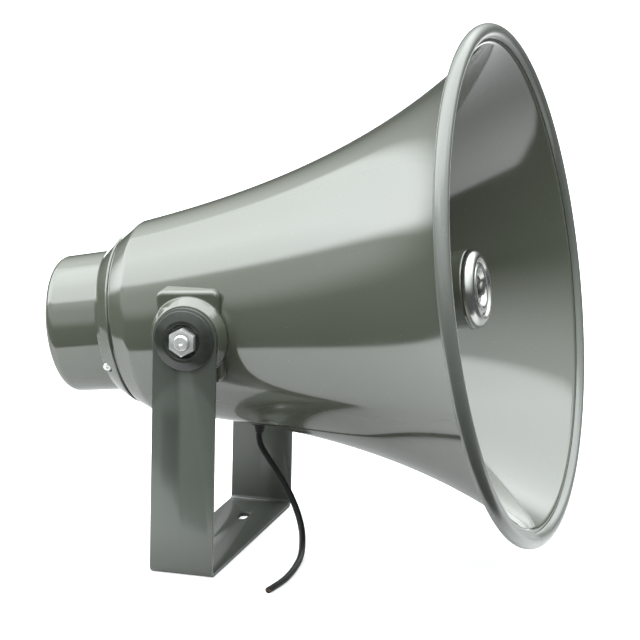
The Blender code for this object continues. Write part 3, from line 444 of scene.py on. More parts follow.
for side in (-1, 1):
    around = [(bore * math.cos(turn), side * pivot_place + bore * math.sin(turn)) for turn in circle]
    slot = [(x, y + side * SLOT_SPREAD / 2) for x, y in oblong]
    for name, outline in (("bore", around), ("slot", slot)):
        holes.append(slab(name, outline, -CUT_REACH, 2 * CUT_REACH, blank.data.materials[0]))
worked(blank, holes)
eased(blank, STRAP_EASE)
mesh = bmesh.new()
mesh.from_mesh(blank.data)
for side in (-1, 1):
    for step in range(FOLD_STEPS + 1):
        cut = side * (base_half + fold_length * step / FOLD_STEPS)
        everything = mesh.verts[:] + mesh.edges[:] + mesh.faces[:]
        bmesh.ops.bisect_plane(mesh, geom=everything, plane_co=(0, cut, 0), plane_no=(0, 1, 0))
for vert in mesh.verts:
    x, along, depth = vert.co
    side = math.copysign(1.0, along)
    past = abs(along) - base_half
    if past > fold_length:
        vert.co = (x, side * (STRAP_SPAN / 2 - depth), STRAP_BEND + past - fold_length)
    elif past > 0:
        turn = past / fold_radius
        reach = STRAP_BEND - depth
        vert.co = (x, side * (base_half + reach * math.sin(turn)), STRAP_BEND - reach * math.cos(turn))
bmesh.ops.recalc_face_normals(mesh, faces=mesh.faces)
mesh.to_mesh(blank.data)
mesh.free()
shade(blank, blank.data.materials[0])
stands_for(blank, "bracket", "bracket")


# Bell: spun from aluminium sheet on a wooden form, with a closed rear wall and an out-turned lip,
# then enamelled inside and out in one glossy grey-olive coat.
HORN_TILT = math.radians(9.83)
HORN = Matrix.Translation(PIVOT) @ Matrix.Rotation(-HORN_TILT, 4, "Y")
BELL_WALL = 0.0016
RIM_RADIUS = 0.200
BEAD_RADIUS = 0.006
LIP_START = 0.2284
LIP_RADIUS = 0.003
WAIST_RADIUS = 0.0863
FLARE_RATE = 5.6
BELL_REAR = -0.0725
BELL_BORE = 0.022
SHOULDER_RADIUS = 0.067
SHOULDER_END = -0.0585
SHOULDER_BLEND = 0.012
REAR_CORNER = 1.3 * BELL_WALL
FLARE_STEPS = 48
LIP_STEPS = 8
TURNS = 288
FINE_ARC = math.radians(5)


def beside(path, distance):
    """The path moved to the right of the way it runs, by the distance."""
    rights = [Vector((b.y - a.y, a.x - b.x)).normalized() for a, b in zip(path, path[1:])]
    moved = []
    for index, point in enumerate(path):
        one = rights[max(index - 1, 0)]
        other = rights[min(index, len(rights) - 1)]
        way = (one + other).normalized()
        moved.append(point + way * distance / way.dot(one))
    return moved


def turned(name, outline, material, turns=TURNS, placed=HORN):
    """The outline, as distances along X and radii, turned about X and set where it belongs.

    An outline that starts and ends on X gives a solid, and another one a ring."""
    solid = outline[0][1] == 0.0
    profile = outline[1:-1] if solid else outline
    circle = [math.tau * step / turns for step in range(turns)]
    rings = [[(x, r * math.cos(turn), r * math.sin(turn)) for turn in circle] for x, r in profile]
    piece = skin(name, rings, material, wrap=not solid)
    piece.matrix_world = placed
    return piece


def rod(name, radius, low, high, material, placed=HORN, turns=48):
    """A plain round rod along X."""
    outline = [(low, 0.0), (low, radius), (high, radius), (high, 0.0)]
    return turned(name, outline, material, turns, placed)


def flare_radius(along):
    """The bell's outer radius: an exponential horn from the waist to the lip."""
    lip = RIM_RADIUS - 2 * BEAD_RADIUS - LIP_RADIUS
    growth = (lip - WAIST_RADIUS) / (math.exp(FLARE_RATE * LIP_START) - 1)
    return WAIST_RADIUS + growth * (math.exp(FLARE_RATE * along) - 1)


def flare_slope(along):
    """The angle of the bell's outside to its axis."""
    nudge = 1e-5
    return math.atan((flare_radius(along + nudge) - flare_radius(along - nudge)) / (2 * nudge))


def bell_skin():
    """The bell's outside, from the bore of its rear wall to the edge of its lip."""
    bend_end = 2 * SHOULDER_END - BELL_REAR
    path = rounded([
        (BELL_REAR, BELL_BORE),
        (BELL_REAR, SHOULDER_RADIUS, REAR_CORNER),
        (SHOULDER_END, flare_radius(SHOULDER_END), SHOULDER_BLEND),
        (bend_end, flare_radius(bend_end)),
    ], FINE_ARC)
    for step in range(1, FLARE_STEPS + 1):
        along = bend_end + (LIP_START - bend_end) * step / FLARE_STEPS
        path.append(Vector((along, flare_radius(along))))
    slope = flare_slope(LIP_START)
    centre = path[-1] + LIP_RADIUS * Vector((-math.sin(slope), math.cos(slope)))
    for step in range(1, LIP_STEPS + 1):
        turn = slope + (math.pi / 2 - slope) * step / LIP_STEPS
        path.append(centre + LIP_RADIUS * Vector((math.sin(turn), -math.cos(turn))))
    path.append(Vector((path[-1].x, RIM_RADIUS - BEAD_RADIUS)))
    return path


def enamel():
    paint = finish("horn_enamel")
    point = paint.place()
    clouds = paint.noise(point, 7.0, 4.0)
    peel = paint.noise(point, 420.0, 2.0)
    waves = paint.noise(point, 38.0, 2.0)
    dust = paint.noise(point, 650.0, 1.0).step(0.73, 0.76)
    smears = paint.noise(point, 24.0, 5.0, 0.7).step(0.45, 0.75)
    colour = paint.mix((0.072, 0.081, 0.059), (0.084, 0.093, 0.070), clouds)
    return paint.surface(
        Base_Color=paint.mix(colour, (0.14, 0.15, 0.13), dust * 0.6),
        Roughness=0.11 + 0.07 * smears,
        Normal=paint.bump(peel, 0.000006, paint.bump(waves, 0.00004)),
        Coat_Weight=0.94 + 0.06 * clouds,
        Coat_Roughness=0.05,
        Coat_IOR=1.6,
    )


FLANGE_SCREW_RADIUS = 0.0025
FLANGE_SCREW_CIRCLE = 0.034
DRIVER_SCREW_RADIUS = 0.0018
DRIVER_SCREW_CIRCLE = 0.048
GLAND_PLACE = 0.0140
GLAND_NECK = 0.0050
DRILL_REACH = 0.004


def on_circle(along, circle, angle):
    """Where a thing of local X along the horn's stands on a circle about its axis."""
    spot = Vector((along, -circle * math.cos(angle), circle * math.sin(angle)))
    return HORN @ Matrix.Translation(spot)


def drill(radius, low, high, placed):
    """A tool that cuts a hole for a shank of that radius."""
    return rod("drill", radius + CLEARANCE, low, high, None, placed, 32)


screw_angles = [math.pi / 4 + quarter * math.pi / 2 for quarter in range(4)]
foot = -math.pi / 2
at_gland = HORN @ Matrix.Translation((GLAND_PLACE, 0, -flare_radius(GLAND_PLACE))) @ Matrix.Rotation(
    math.pi / 2 + flare_slope(GLAND_PLACE), 4, "Y"
)
horn_enamel = enamel()
outside = bell_skin()
bell = turned("horn_bell", outside + beside(outside, BELL_WALL)[::-1], horn_enamel)
at_lead = on_circle(BELL_REAR, DRIVER_SCREW_CIRCLE, foot)
bores = [drill(CABLE_RADIUS, -DRILL_REACH, DRILL_REACH, at_lead)]
bores.append(drill(GLAND_NECK, -1.5 * DRILL_REACH, 1.5 * DRILL_REACH, at_gland))
for angle in screw_angles:
    at_screw = on_circle(BELL_REAR, FLANGE_SCREW_CIRCLE, angle)
    bores.append(drill(FLANGE_SCREW_RADIUS, -DRILL_REACH, DRILL_REACH, at_screw))
worked(bell, bores)
shade(bell, horn_enamel)
stands_for(bell, "bell", "horn")


# Rim trim: a bead of round tube, slotted along its inner side, pressed over the bell's lip and
# painted like the bell, but duller. Its two ends meet in a butt joint low on the camera's side.
def lip_plane():
    """How far along the horn the middle of the lip's flat edge stands."""
    return LIP_START + LIP_RADIUS * (1 - math.sin(flare_slope(LIP_START))) + BELL_WALL / 2


def trim_paint():
    paint = finish("trim_paint")
    point = paint.place()
    clouds = paint.noise(point, 18.0, 4.0)
    grain = paint.noise(point, 600.0, 3.0)
    rubs = paint.noise(point, 130.0, 4.0, 0.7).step(0.60, 0.75)
    colour = paint.mix((0.100, 0.110, 0.095), (0.130, 0.140, 0.125), clouds)
    return paint.surface(
        Base_Color=paint.mix(colour, (0.19, 0.20, 0.19), rubs * 0.4),
        Roughness=0.26 + 0.10 * clouds,
        Normal=paint.bump(grain, 0.00002),
        Coat_Weight=0.8 + 0.2 * clouds,
        Coat_Roughness=0.20,
    )


JOINT_ANGLE = math.radians(-102)
JOINT_GAP = 0.0005
BEAD_STEPS = 40
BEAD_TURNS = 360
half_slot = BELL_WALL / 2 + CLEARANCE
opening = math.asin(half_slot / BEAD_RADIUS)
bead_centre = Vector((lip_plane(), RIM_RADIUS - BEAD_RADIUS))
bead = [
    bead_centre + BEAD_RADIUS * Vector((math.sin(turn), -math.cos(turn)))
    for turn in [opening + (math.tau - 2 * opening) * step / BEAD_STEPS for step in range(BEAD_STEPS + 1)]
]
bead += [bead_centre + Vector((-half_slot, CLEARANCE)), bead_centre + Vector((half_slot, CLEARANCE))]
trim = turned("rim_bead", bead, trim_paint(), BEAD_TURNS)
at_joint = HORN @ Matrix.Translation((lip_plane(), 0, 0)) @ Matrix.Rotation(JOINT_ANGLE, 4, "X")
square = [(x * CUT_REACH, y * CUT_REACH) for x, y in ((-1, -1), (1, -1), (1, 1), (-1, 1))]
cutter = slab("joint", square, 0, JOINT_GAP, None)
cutter.matrix_world = at_joint @ Matrix.Translation((0, RIM_RADIUS, 0))
worked(trim, [cutter])
shade(trim, trim.data.materials[0])
stands_for(trim, "rim_trim", "horn")


# Mounting ring: a turned casting behind the bell, with a narrow groove where the two meet and a
# sloping outside down to the driver's can. The same enamel covers it.
GROOVE_WIDTH = 0.0014
GROOVE_DEPTH = 0.0025
WEB_THICKNESS = 0.0092
SKIRT_LENGTH = 0.0063
RING_SLOPE = math.radians(39)
RING_EDGE = 0.0012
SKIRT_EDGE = 0.0003
THROAT_RADIUS = 0.011
THROAT_FLARE = 0.003
CHAMBER_RADIUS = 0.030
COVER_WALL = 0.0015
COVER_RADIUS = 0.0551
COVER_REAR = -0.1335
COVER_TAPER = math.radians(2.3)
COVER_CORNER = 0.010
COVER_ARC = math.radians(4)
COVER_SCREW_RADIUS = 0.0020
COVER_SCREW_ANGLE = math.radians(-27)
COVER_SEAT_DEPTH = 0.0012
FLANGE_SCREW_DEPTH = 0.0070
DRIVER_SCREW_DEPTH = 0.0065
PAN_RADIUS = 1.8  # of a pan head, times the screw's
PAN_HEIGHT = 1.1
SPOTFACE = 1.15  # times the pan head's radius
web_front = BELL_REAR - CLEARANCE
web_rear = web_front - WEB_THICKNESS
skirt_end = web_rear - SKIRT_LENGTH
cover_bore = COVER_RADIUS + CLEARANCE


def ring_radius(along):
    """The radius of the ring's sloping outside."""
    return SHOULDER_RADIUS - (web_front - GROOVE_WIDTH - along) * math.tan(RING_SLOPE)


# Round the ring's section: front, groove, slope, skirt, web, and the chamber's dome and throat
ring_rim = web_front - GROOVE_WIDTH
ring_outline = rounded([
    (web_front, THROAT_RADIUS),
    (web_front, SHOULDER_RADIUS - GROOVE_DEPTH),
    (ring_rim, SHOULDER_RADIUS - GROOVE_DEPTH),
    (ring_rim, ring_radius(ring_rim), RING_EDGE),
    (skirt_end, max(ring_radius(skirt_end), cover_bore + 2 * CLEARANCE), SKIRT_EDGE),
    (skirt_end, cover_bore),
    (web_rear, cover_bore),
    (web_rear, CHAMBER_RADIUS),
    (web_rear + 0.16 * WEB_THICKNESS, 0.8 * CHAMBER_RADIUS),
    (web_front - 0.38 * WEB_THICKNESS, THROAT_RADIUS + THROAT_FLARE),
    (web_front - 0.13 * WEB_THICKNESS, THROAT_RADIUS),
])
ring = turned("ring_casting", ring_outline, horn_enamel)
cover_screw_place = web_rear - SKIRT_LENGTH / 2
cover_screw_seat = ring_radius(cover_screw_place) - COVER_SEAT_DEPTH


def at_cover_screw(angle):
    """Where a thing of local X outwards stands on the seat cut in the ring's skirt."""
    outward = Vector((0, -math.cos(angle), math.sin(angle)))
    spot = Vector((cover_screw_place, 0, 0)) + cover_screw_seat * outward
    return HORN @ Matrix.Translation(spot) @ outward.to_track_quat("X", "Z").to_matrix().to_4x4()


cover_screw_angles = (COVER_SCREW_ANGLE, COVER_SCREW_ANGLE + math.pi)
cutters = []
for angle in cover_screw_angles:
    flat = SPOTFACE * PAN_RADIUS * COVER_SCREW_RADIUS
    cutters.append(rod("spotface", flat, 0.0, CUT_REACH, horn_enamel, at_cover_screw(angle)))
    cutters.append(drill(COVER_SCREW_RADIUS, -DRILL_REACH, -CLEARANCE / 3, at_cover_screw(angle)))
for angle in screw_angles:
    at_flange = on_circle(web_front, FLANGE_SCREW_CIRCLE, angle)
    cutters.append(drill(FLANGE_SCREW_RADIUS, -FLANGE_SCREW_DEPTH, DRILL_REACH / 2, at_flange))
    at_driver = on_circle(web_rear, DRIVER_SCREW_CIRCLE, angle)
    cutters.append(drill(DRIVER_SCREW_RADIUS, -DRILL_REACH / 2, DRIVER_SCREW_DEPTH, at_driver))
at_lead = on_circle(web_front, DRIVER_SCREW_CIRCLE, foot)
cutters.append(drill(CABLE_RADIUS, -2 * CUT_REACH, DRILL_REACH / 2, at_lead))
worked(ring, cutters)
shade(ring, horn_enamel)
stands_for(ring, "mounting_ring", "horn")


# Driver cover: a can drawn from sheet with a slight taper and a wide round at its closed rear end.
# It slides into the ring's skirt, and is enamelled with the bell.
def cover_radius(along):
    """The can's outer radius, which is widest at its mouth."""
    return COVER_RADIUS + (along - web_rear) * math.tan(COVER_TAPER)


cover_front = web_rear - CLEARANCE
cover_skin = rounded([
    (COVER_REAR, 0.0),
    (COVER_REAR, cover_radius(COVER_REAR), COVER_CORNER),
    (cover_front, cover_radius(cover_front)),
], COVER_ARC)
inner_skin = beside(cover_skin, COVER_WALL)[::-1]
inner_skin[-1] = Vector((COVER_REAR + COVER_WALL, 0.0))
cover = turned("driver_can", cover_skin + inner_skin, horn_enamel)
bores = [
    drill(COVER_SCREW_RADIUS, -DRILL_REACH, DRILL_REACH, at_cover_screw(angle))
    for angle in cover_screw_angles
]
worked(cover, bores)
shade(cover, horn_enamel)
stands_for(cover, "driver_cover", "horn")


# Cover screws: two zinc-plated pan-head screws with a cross recess, set in flats on the ring.
# They go through the ring's skirt and the can towards the driver's front plate.
PLATE_RADIUS = 0.052
PAN_SIDE = 0.45  # of the head's height, below its dome
POINT_LENGTH = 0.4  # times the screw's radius
RECESS_REACH = 0.62
RECESS_WIDTH = 0.16
RECESS_FLOOR = 0.35  # of the head's height


def plated(name="zinc", colour=(0.84, 0.85, 0.84), roughness=0.24, metallic=0.65):
    paint = finish(name)
    point = paint.place()
    clouds = paint.noise(point, 160.0, 4.0)
    scratches = paint.noise(point * (1.0, 1.0, 9.0), 900.0, 2.0).step(0.60, 0.72)
    clouded = tuple(0.75 * channel for channel in colour)
    return paint.surface(
        Base_Color=paint.mix(clouded, colour, clouds.step(0.3, 0.7)),
        Metallic=metallic,
        Roughness=roughness + 0.14 * clouds + 0.1 * scratches,
        Normal=paint.bump(scratches, 0.00001, paint.bump(clouds, 0.00003)),
    )


def dull(name, low, high, roughness, metallic=0.0, scale=60.0, relief=0.00003):
    """A plain finish: cast, moulded, machined, pressed or painted, with some clouding and grain."""
    paint = finish(name)
    point = paint.place()
    clouds = paint.noise(point, scale, 4.0)
    grain = paint.noise(point, 14.0 * scale, 2.0)
    return paint.surface(
        Base_Color=paint.mix(low, high, clouds.step(0.3, 0.7)),
        Metallic=metallic,
        Roughness=roughness + 0.15 * clouds,
        Normal=paint.bump(grain, relief),
    )


def pan_screw(name, radius, length, material, placed):
    """A pan-head screw with a cross recess: its head stands on the plane X = 0."""
    wide, high = PAN_RADIUS * radius, PAN_HEIGHT * radius
    side = PAN_SIDE * high
    dome = [
        (CLEARANCE + side + (high - side) * math.sin(turn), wide * (0.55 + 0.45 * math.cos(turn)))
        for turn in [math.pi / 2 * step / 8 for step in range(9)]
    ]
    top = CLEARANCE + high
    outline = [
        (-length, 0.0),
        (-length, 0.8 * radius),
        (POINT_LENGTH * radius - length, radius),
        (CLEARANCE, radius),
        (CLEARANCE, 0.97 * wide),
        (CLEARANCE + 0.03 * wide, wide),
        *dome,
        (top, 0.0),
    ]
    made = turned(name, outline, material, 48, placed)
    reach, thin = RECESS_REACH * radius, RECESS_WIDTH * radius
    bar = [
        [(along, y * half, z * thin) for y, z in ((-1, -1), (1, -1), (1, 1), (-1, 1))]
        for along, half in ((CLEARANCE + RECESS_FLOOR * high, 0.5 * reach), (top + high, 2.2 * reach))
    ]
    for turn in (0.0, math.pi / 2):
        slot = skin("slot", bar, material)
        slot.matrix_world = placed @ Matrix.Rotation(turn, 4, "X")
        worked(made, [slot])
    return shade(made, material)


zinc = plated()
for index, angle in enumerate(cover_screw_angles):
    length = cover_screw_seat - PLATE_RADIUS - 2 * CLEARANCE
    made = pan_screw(f"pan_screw_{index + 1}", COVER_SCREW_RADIUS, length, zinc, at_cover_screw(angle))
    stands_for(made, f"cover_screw_{index + 1}", "horn")


# Lugs: two castings on the bell's sides, a square pad with a round boss on it that bears on the
# strap's leg. The metal flows from boss to pad in a soft hollow, under the bell's enamel.
LUG_WIDTH = 0.050
LUG_HEIGHT = 0.071
LUG_TURN = math.radians(-4.5)
LUG_CORNER = 0.0060
LUG_EDGE = 0.0032
BOSS_RADIUS = 0.0262
BOSS_FOOT = 0.0310
BOSS_LENGTH = 0.0087
STUD_SOCKET = 0.012
PAD_ROOT = 0.72  # of the pad face's distance from the axis, inside the bell
BOSS_ROOT = 0.80
FORM_STEPS = 24
VOXEL = 0.0006
FLOW_PASSES = 5
boss_face = STRAP_SPAN / 2 - STRAP_SHEET - CLEARANCE
pad_face = boss_face - BOSS_LENGTH


def towards_leg(side, about=HORN):
    """Turns local X to the outside of that leg, along the tilt axis."""
    return about @ Matrix.Rotation(side * math.pi / 2, 4, "Z")


def pad_ring(inset, level):
    """The pad's outline at that level, drawn in by the inset."""
    x, y, corner = LUG_WIDTH / 2 - inset, LUG_HEIGHT / 2 - inset, LUG_CORNER - inset
    return [(px, py, level) for px, py in rounded([
        (-x, -y, corner), (x, -y, corner), (x, y, corner), (-x, y, corner),
    ])]


def lug(name, side):
    """Pad and boss joined, hollowed to the bell's form, smoothed and bored for the stud."""
    rings = [pad_ring(0.0, PAD_ROOT * pad_face)]
    for turn in [math.pi / 2 * step / 6 for step in range(7)]:
        rings.append(pad_ring(LUG_EDGE * (1 - math.cos(turn)), pad_face - LUG_EDGE * (1 - math.sin(turn))))
    pad = skin(name, rings, horn_enamel)
    upright = Matrix.Rotation(-LUG_TURN, 4, "Y") @ Matrix.Rotation(-side * math.pi / 2, 4, "X")
    pad.matrix_world = HORN @ upright
    profile = rounded([
        (BOSS_ROOT * pad_face, 0.0),
        (BOSS_ROOT * pad_face, BOSS_RADIUS - LUG_CORNER),
        (pad_face - LUG_CORNER, BOSS_FOOT - LUG_CORNER / 2),
        (pad_face, BOSS_FOOT, LUG_EDGE),
        (boss_face, BOSS_RADIUS, LUG_EDGE / 3),
        (boss_face, 0.0),
    ])
    worked(pad, [turned("boss", profile, horn_enamel, 144, towards_leg(side))], "UNION")
    reach = 0.6 * LUG_HEIGHT
    steps = [reach * (2 * step / FORM_STEPS - 1) for step in range(FORM_STEPS + 1)]
    form = [(-reach, 0.0), *[(along, flare_radius(along) + CLEARANCE) for along in steps], (reach, 0.0)]
    worked(pad, [turned("form", form, horn_enamel)])
    remesh = pad.modifiers.new("cast", "REMESH")
    remesh.mode = "VOXEL"
    remesh.voxel_size = VOXEL
    smooth = pad.modifiers.new("flow", "SMOOTH")
    smooth.factor = 0.5
    smooth.iterations = FLOW_PASSES
    settled(pad)
    bottom, mouth = boss_face - STUD_SOCKET, boss_face + CUT_REACH
    worked(pad, [rod("socket", STUD_RADIUS + CLEARANCE, bottom, mouth, None, towards_leg(side))])
    return shade(pad, horn_enamel, math.radians(60))


# Studs, nuts and dished washers: M12 studs fixed in the lugs, bright hexagon nuts, and dark washers
# dished like a saucer, which press the legs against the bosses.
THREAD_PITCH = 0.00175
THREAD_DEPTH = 0.61  # of the pitch
THREAD_ROWS = 12  # for each turn
THREAD_SIDES = 60
STUD_END = 0.0018
STUD_CHAMFER = 0.001
DISH_RADIUS = 0.0235
DISH_RIDGE = 0.0160
DISH_HEIGHT = 0.0046
DISH_SHEET = 0.0014
NUT_FLATS = 0.019
NUT_HEIGHT = 0.006
NUT_SUNK = 0.0006  # the countersink of its bore
NUT_EASE = 0.00018
dish_seat = STRAP_SPAN / 2 + CLEARANCE
nut_seat = dish_seat + DISH_SHEET + CLEARANCE


def threaded(name, radius, low, high, pitch, chamfer, material, placed):
    """A rod along X with a helical thread, chamfered and centre-drilled at its high end."""
    rows = round((high - low) / pitch * THREAD_ROWS)
    circle = [step / THREAD_SIDES for step in range(THREAD_SIDES)]
    rings = []
    for row in range(rows + 1):
        along = low + (high - low) * row / rows
        limit = radius - max(0.0, along - high + chamfer)
        ring = []
        for share in circle:
            rise = 1 - abs(2 * ((along / pitch - share) % 1.0) - 1)
            reach = min(radius - THREAD_DEPTH * pitch * (1 - min(1.0, 1.3 * rise)), limit)
            turn = math.tau * share
            ring.append((along, reach * math.cos(turn), reach * math.sin(turn)))
        rings.append(ring)
    for along, reach in ((high, 0.30 * radius), (high - 0.28 * radius, 0.01 * radius)):
        turns = [math.tau * share for share in circle]
        rings.append([(along, reach * math.cos(turn), reach * math.sin(turn)) for turn in turns])
    made = skin(name, rings, material)
    made.matrix_world = placed
    return made


def hex_nut(name, flats, height, bore, material, placed):
    """A hexagon nut along X from 0 to its height, its corners chamfered on both faces."""
    corner = flats / math.sqrt(3)
    turns = [math.tau * step / 6 for step in range(6)]
    along_x = Matrix(((0, 0, 1, 0), (1, 0, 0, 0), (0, 1, 0, 0), (0, 0, 0, 1)))
    outline = [(corner * math.sin(turn), corner * math.cos(turn)) for turn in turns]
    body = slab(name, outline, 0.0, height, material, along_x)
    body.matrix_world = placed
    chamfer = 0.45 * (corner - flats / 2)
    blank = [
        (-CLEARANCE, 0.0),
        (-CLEARANCE, flats / 2),
        (chamfer, corner + chamfer),
        (height - chamfer, corner + chamfer),
        (height + CLEARANCE, flats / 2),
        (height + CLEARANCE, 0.0),
    ]
    worked(body, [turned("blank", blank, material, 192, placed)], "INTERSECT")
    hole = bore + CLEARANCE
    wide = hole + NUT_SUNK + CUT_REACH
    tool = [
        (-CUT_REACH, 0.0),
        (-CUT_REACH, wide),
        (NUT_SUNK, hole),
        (height - NUT_SUNK, hole),
        (height + CUT_REACH, wide),
        (height + CUT_REACH, 0.0),
    ]
    worked(body, [turned("tool", tool, material, 60, placed)])
    return eased(body, NUT_EASE, 2, math.radians(25))


def dish_washer(name, side):
    """Flat under the nut, rising to a ridge and falling to a rim that bears on the leg."""
    floor = dish_seat + DISH_SHEET
    flat = NUT_FLATS / math.sqrt(3) + 2 * CLEARANCE
    top = dish_seat + DISH_HEIGHT
    rim = 0.7 * DISH_SHEET
    outline = rounded([
        (dish_seat, STUD_RADIUS + CLEARANCE),
        (floor, STUD_RADIUS + CLEARANCE),
        (floor, flat, 0.0012),
        (top, DISH_RIDGE - 1.6 * DISH_SHEET, 0.0008),
        (top, DISH_RIDGE, DISH_SHEET),
        (dish_seat + 1.1 * DISH_SHEET, DISH_RADIUS, rim),
        (dish_seat, DISH_RADIUS - CLEARANCE),
    ])
    placed = towards_leg(side, Matrix.Translation(PIVOT))
    return turned(name, outline, dark_steel, 144, placed)


dark_steel = dull("dark_steel", (0.022, 0.026, 0.021), (0.034, 0.038, 0.032), 0.16, 0.0, 120.0, 0.00002)
for side, label in ((-1, "right"), (1, "left")):
    stands_for(lug(f"cast_lug_{label}", side), f"lug_{label}", "horn")
    low, high = boss_face - STUD_SOCKET + CLEARANCE, nut_seat + NUT_HEIGHT + STUD_END
    placed = towards_leg(side)
    stud = threaded(f"thread_{label}", STUD_RADIUS, low, high, THREAD_PITCH, STUD_CHAMFER, zinc, placed)
    stands_for(stud, f"stud_{label}", "horn")
    upright = HORN @ Matrix.Translation((0, side * nut_seat, 0)) @ Matrix.Rotation(HORN_TILT, 4, "Y")
    nut = hex_nut(f"hex_nut_{label}", NUT_FLATS, NUT_HEIGHT, STUD_RADIUS, zinc, towards_leg(side, upright))
    stands_for(nut, f"stud_nut_{label}", "horn")
    stands_for(dish_washer(f"saucer_{label}", side), f"dish_washer_{label}", "bracket")


# Reflector: a spun cup over the throat tube, enamelled like the bell. On its front sits a dull
# chromed pressing with a wide round rim, a groove, an inner ring and a sunk centre, held by a
# bolt and washer in dark, dull zinc, which paints the shade in the sunk centre.
CUP_WALL = 0.0016
CUP_FRONT = 0.1983
CUP_NECK_RADIUS = 0.031
CUP_NECK_LENGTH = 0.022
CUP_REAR = -0.035
CUP_REAR_RADIUS = 0.064
CUP_CURVE = 1.7
CUP_STEPS = 36
CUP_TURNS = 192
CAP_DEPTH = 0.0080
CAP_SHEET = 0.0012
CAP_EDGE = 0.0074
CAP_GROOVE = 0.0022
CAP_SINK = 0.0042
TIE_RADIUS = 0.003
WASHER_RADIUS = 0.0072
WASHER_SHEET = 0.0010
TUBE_END = 0.165
SPIDER_LENGTH = 0.012
HUB_PROUD = 0.002
TIE_NUT_HEIGHT = 0.005


def chrome_finish():
    paint = finish("chrome")
    point = paint.place()
    clouds = paint.noise(point, 60.0, 4.0)
    pits = paint.noise(point, 1400.0, 1.0).step(0.70, 0.76)
    hairlines = paint.noise(point * (1.0, 6.0, 1.0), 500.0, 2.0).step(0.62, 0.74)
    return paint.surface(
        Base_Color=paint.mix((0.43, 0.44, 0.415), (0.54, 0.55, 0.525), clouds),
        Metallic=1.0,
        Roughness=0.17 + 0.08 * clouds + 0.12 * pits + 0.05 * hairlines,
        Normal=paint.bump(pits, 0.00001, paint.bump(paint.noise(point, 90.0, 2.0), 0.00006)),
    )


cup_bend = CUP_FRONT - CUP_NECK_LENGTH
cup_skin = []
for step in range(CUP_STEPS + 1):
    share = 1 - step / CUP_STEPS
    along = cup_bend + (CUP_REAR - cup_bend) * share
    cup_skin.append((along, CUP_NECK_RADIUS + (CUP_REAR_RADIUS - CUP_NECK_RADIUS) * share**CUP_CURVE))
cup_skin += [(CUP_FRONT, CUP_NECK_RADIUS, 1.25 * CUP_WALL), (CUP_FRONT, TIE_RADIUS + CLEARANCE)]
cup_skin = rounded(cup_skin)
cup = turned("reflector_cup", cup_skin + beside(cup_skin, CUP_WALL)[::-1], horn_enamel, CUP_TURNS)
stands_for(cup, "reflector", "horn")
cap_front = CUP_FRONT + CLEARANCE + CAP_DEPTH
edge = CUP_NECK_RADIUS - CLEARANCE
cap_skin = rounded([
    (CUP_FRONT + CLEARANCE, edge),
    (cap_front, edge, CAP_EDGE),
    (cap_front, 0.735 * edge, 0.0015),
    (cap_front - CAP_GROOVE, 0.66 * edge, 0.0012),
    (cap_front - 0.3 * CAP_GROOVE, 0.58 * edge, 0.0016),
    (cap_front - 0.3 * CAP_GROOVE, 0.46 * edge, 0.0018),
    (cap_front - CAP_SINK, 0.36 * edge, 0.0012),
    (cap_front - CAP_SINK, TIE_RADIUS + CLEARANCE),
], FINE_ARC)
cap = turned("chrome_cap", cap_skin + beside(cap_skin, CAP_SHEET)[::-1], chrome_finish(), CUP_TURNS)
stands_for(cap, "reflector_cap", "horn")
# Dark, dull zinc on the bolt and its washer: painted shade for the cap's sunk centre.
shade_dark_zinc = plated("zinc_darkened_for_shade", (0.20, 0.21, 0.19), 0.36, 1.0)
washer_seat = cap_front - CAP_SINK + CLEARANCE
bolt_head = washer_seat + WASHER_SHEET
bore = TIE_RADIUS + CLEARANCE
washer = turned("bolt_washer", rounded([
    (washer_seat, bore),
    (washer_seat, WASHER_RADIUS, 0.0002),
    (bolt_head, WASHER_RADIUS, 0.0004),
    (bolt_head, bore),
]), shade_dark_zinc, 96)
stands_for(washer, "cap_washer", "horn")
bolt_end = TUBE_END - SPIDER_LENGTH - HUB_PROUD - 3 * CLEARANCE - TIE_NUT_HEIGHT - TIE_RADIUS / 2
at_bolt = HORN @ Matrix.Translation((bolt_head, 0, 0))
bolt = pan_screw("long_bolt", TIE_RADIUS, bolt_head - bolt_end, shade_dark_zinc, at_bolt)
stands_for(bolt, "tie_bolt", "horn")


# Gland: a black rubber grommet in the belly, through which the cable comes out. Its sleeve narrows
# to grip the jacket.
GLAND_RADIUS = 0.0078
GLAND_LENGTH = 0.0095
GLAND_PLUG = 0.0038
GLAND_FLANGE = 0.0030


def rubber_finish():
    paint = finish("rubber")
    point = paint.place()
    bloom = paint.noise(point, 220.0, 4.0)
    grain = paint.noise(point, 1800.0, 2.0)
    return paint.surface(
        Base_Color=paint.mix((0.006, 0.006, 0.006), (0.014, 0.014, 0.013), bloom),
        Roughness=0.50 + 0.20 * bloom,
        Specular_IOR_Level=0.30,
        Normal=paint.bump(grain, 0.00003),
    )


rubber = rubber_finish()
gland = turned("grommet", rounded([
    (-GLAND_PLUG, 0.0),
    (-GLAND_PLUG, GLAND_NECK, 0.0006),
    (CLEARANCE, GLAND_NECK),
    (CLEARANCE, GLAND_RADIUS, 0.0003),
    (GLAND_FLANGE, GLAND_RADIUS, GLAND_FLANGE / 3),
    (GLAND_FLANGE + CLEARANCE, 1.9 * CABLE_RADIUS, 0.0008),
    (GLAND_LENGTH, 1.25 * CABLE_RADIUS, 0.0005),
    (GLAND_LENGTH, 0.0),
]), rubber, 96, at_gland)
stands_for(gland, "cable_gland", "horn")


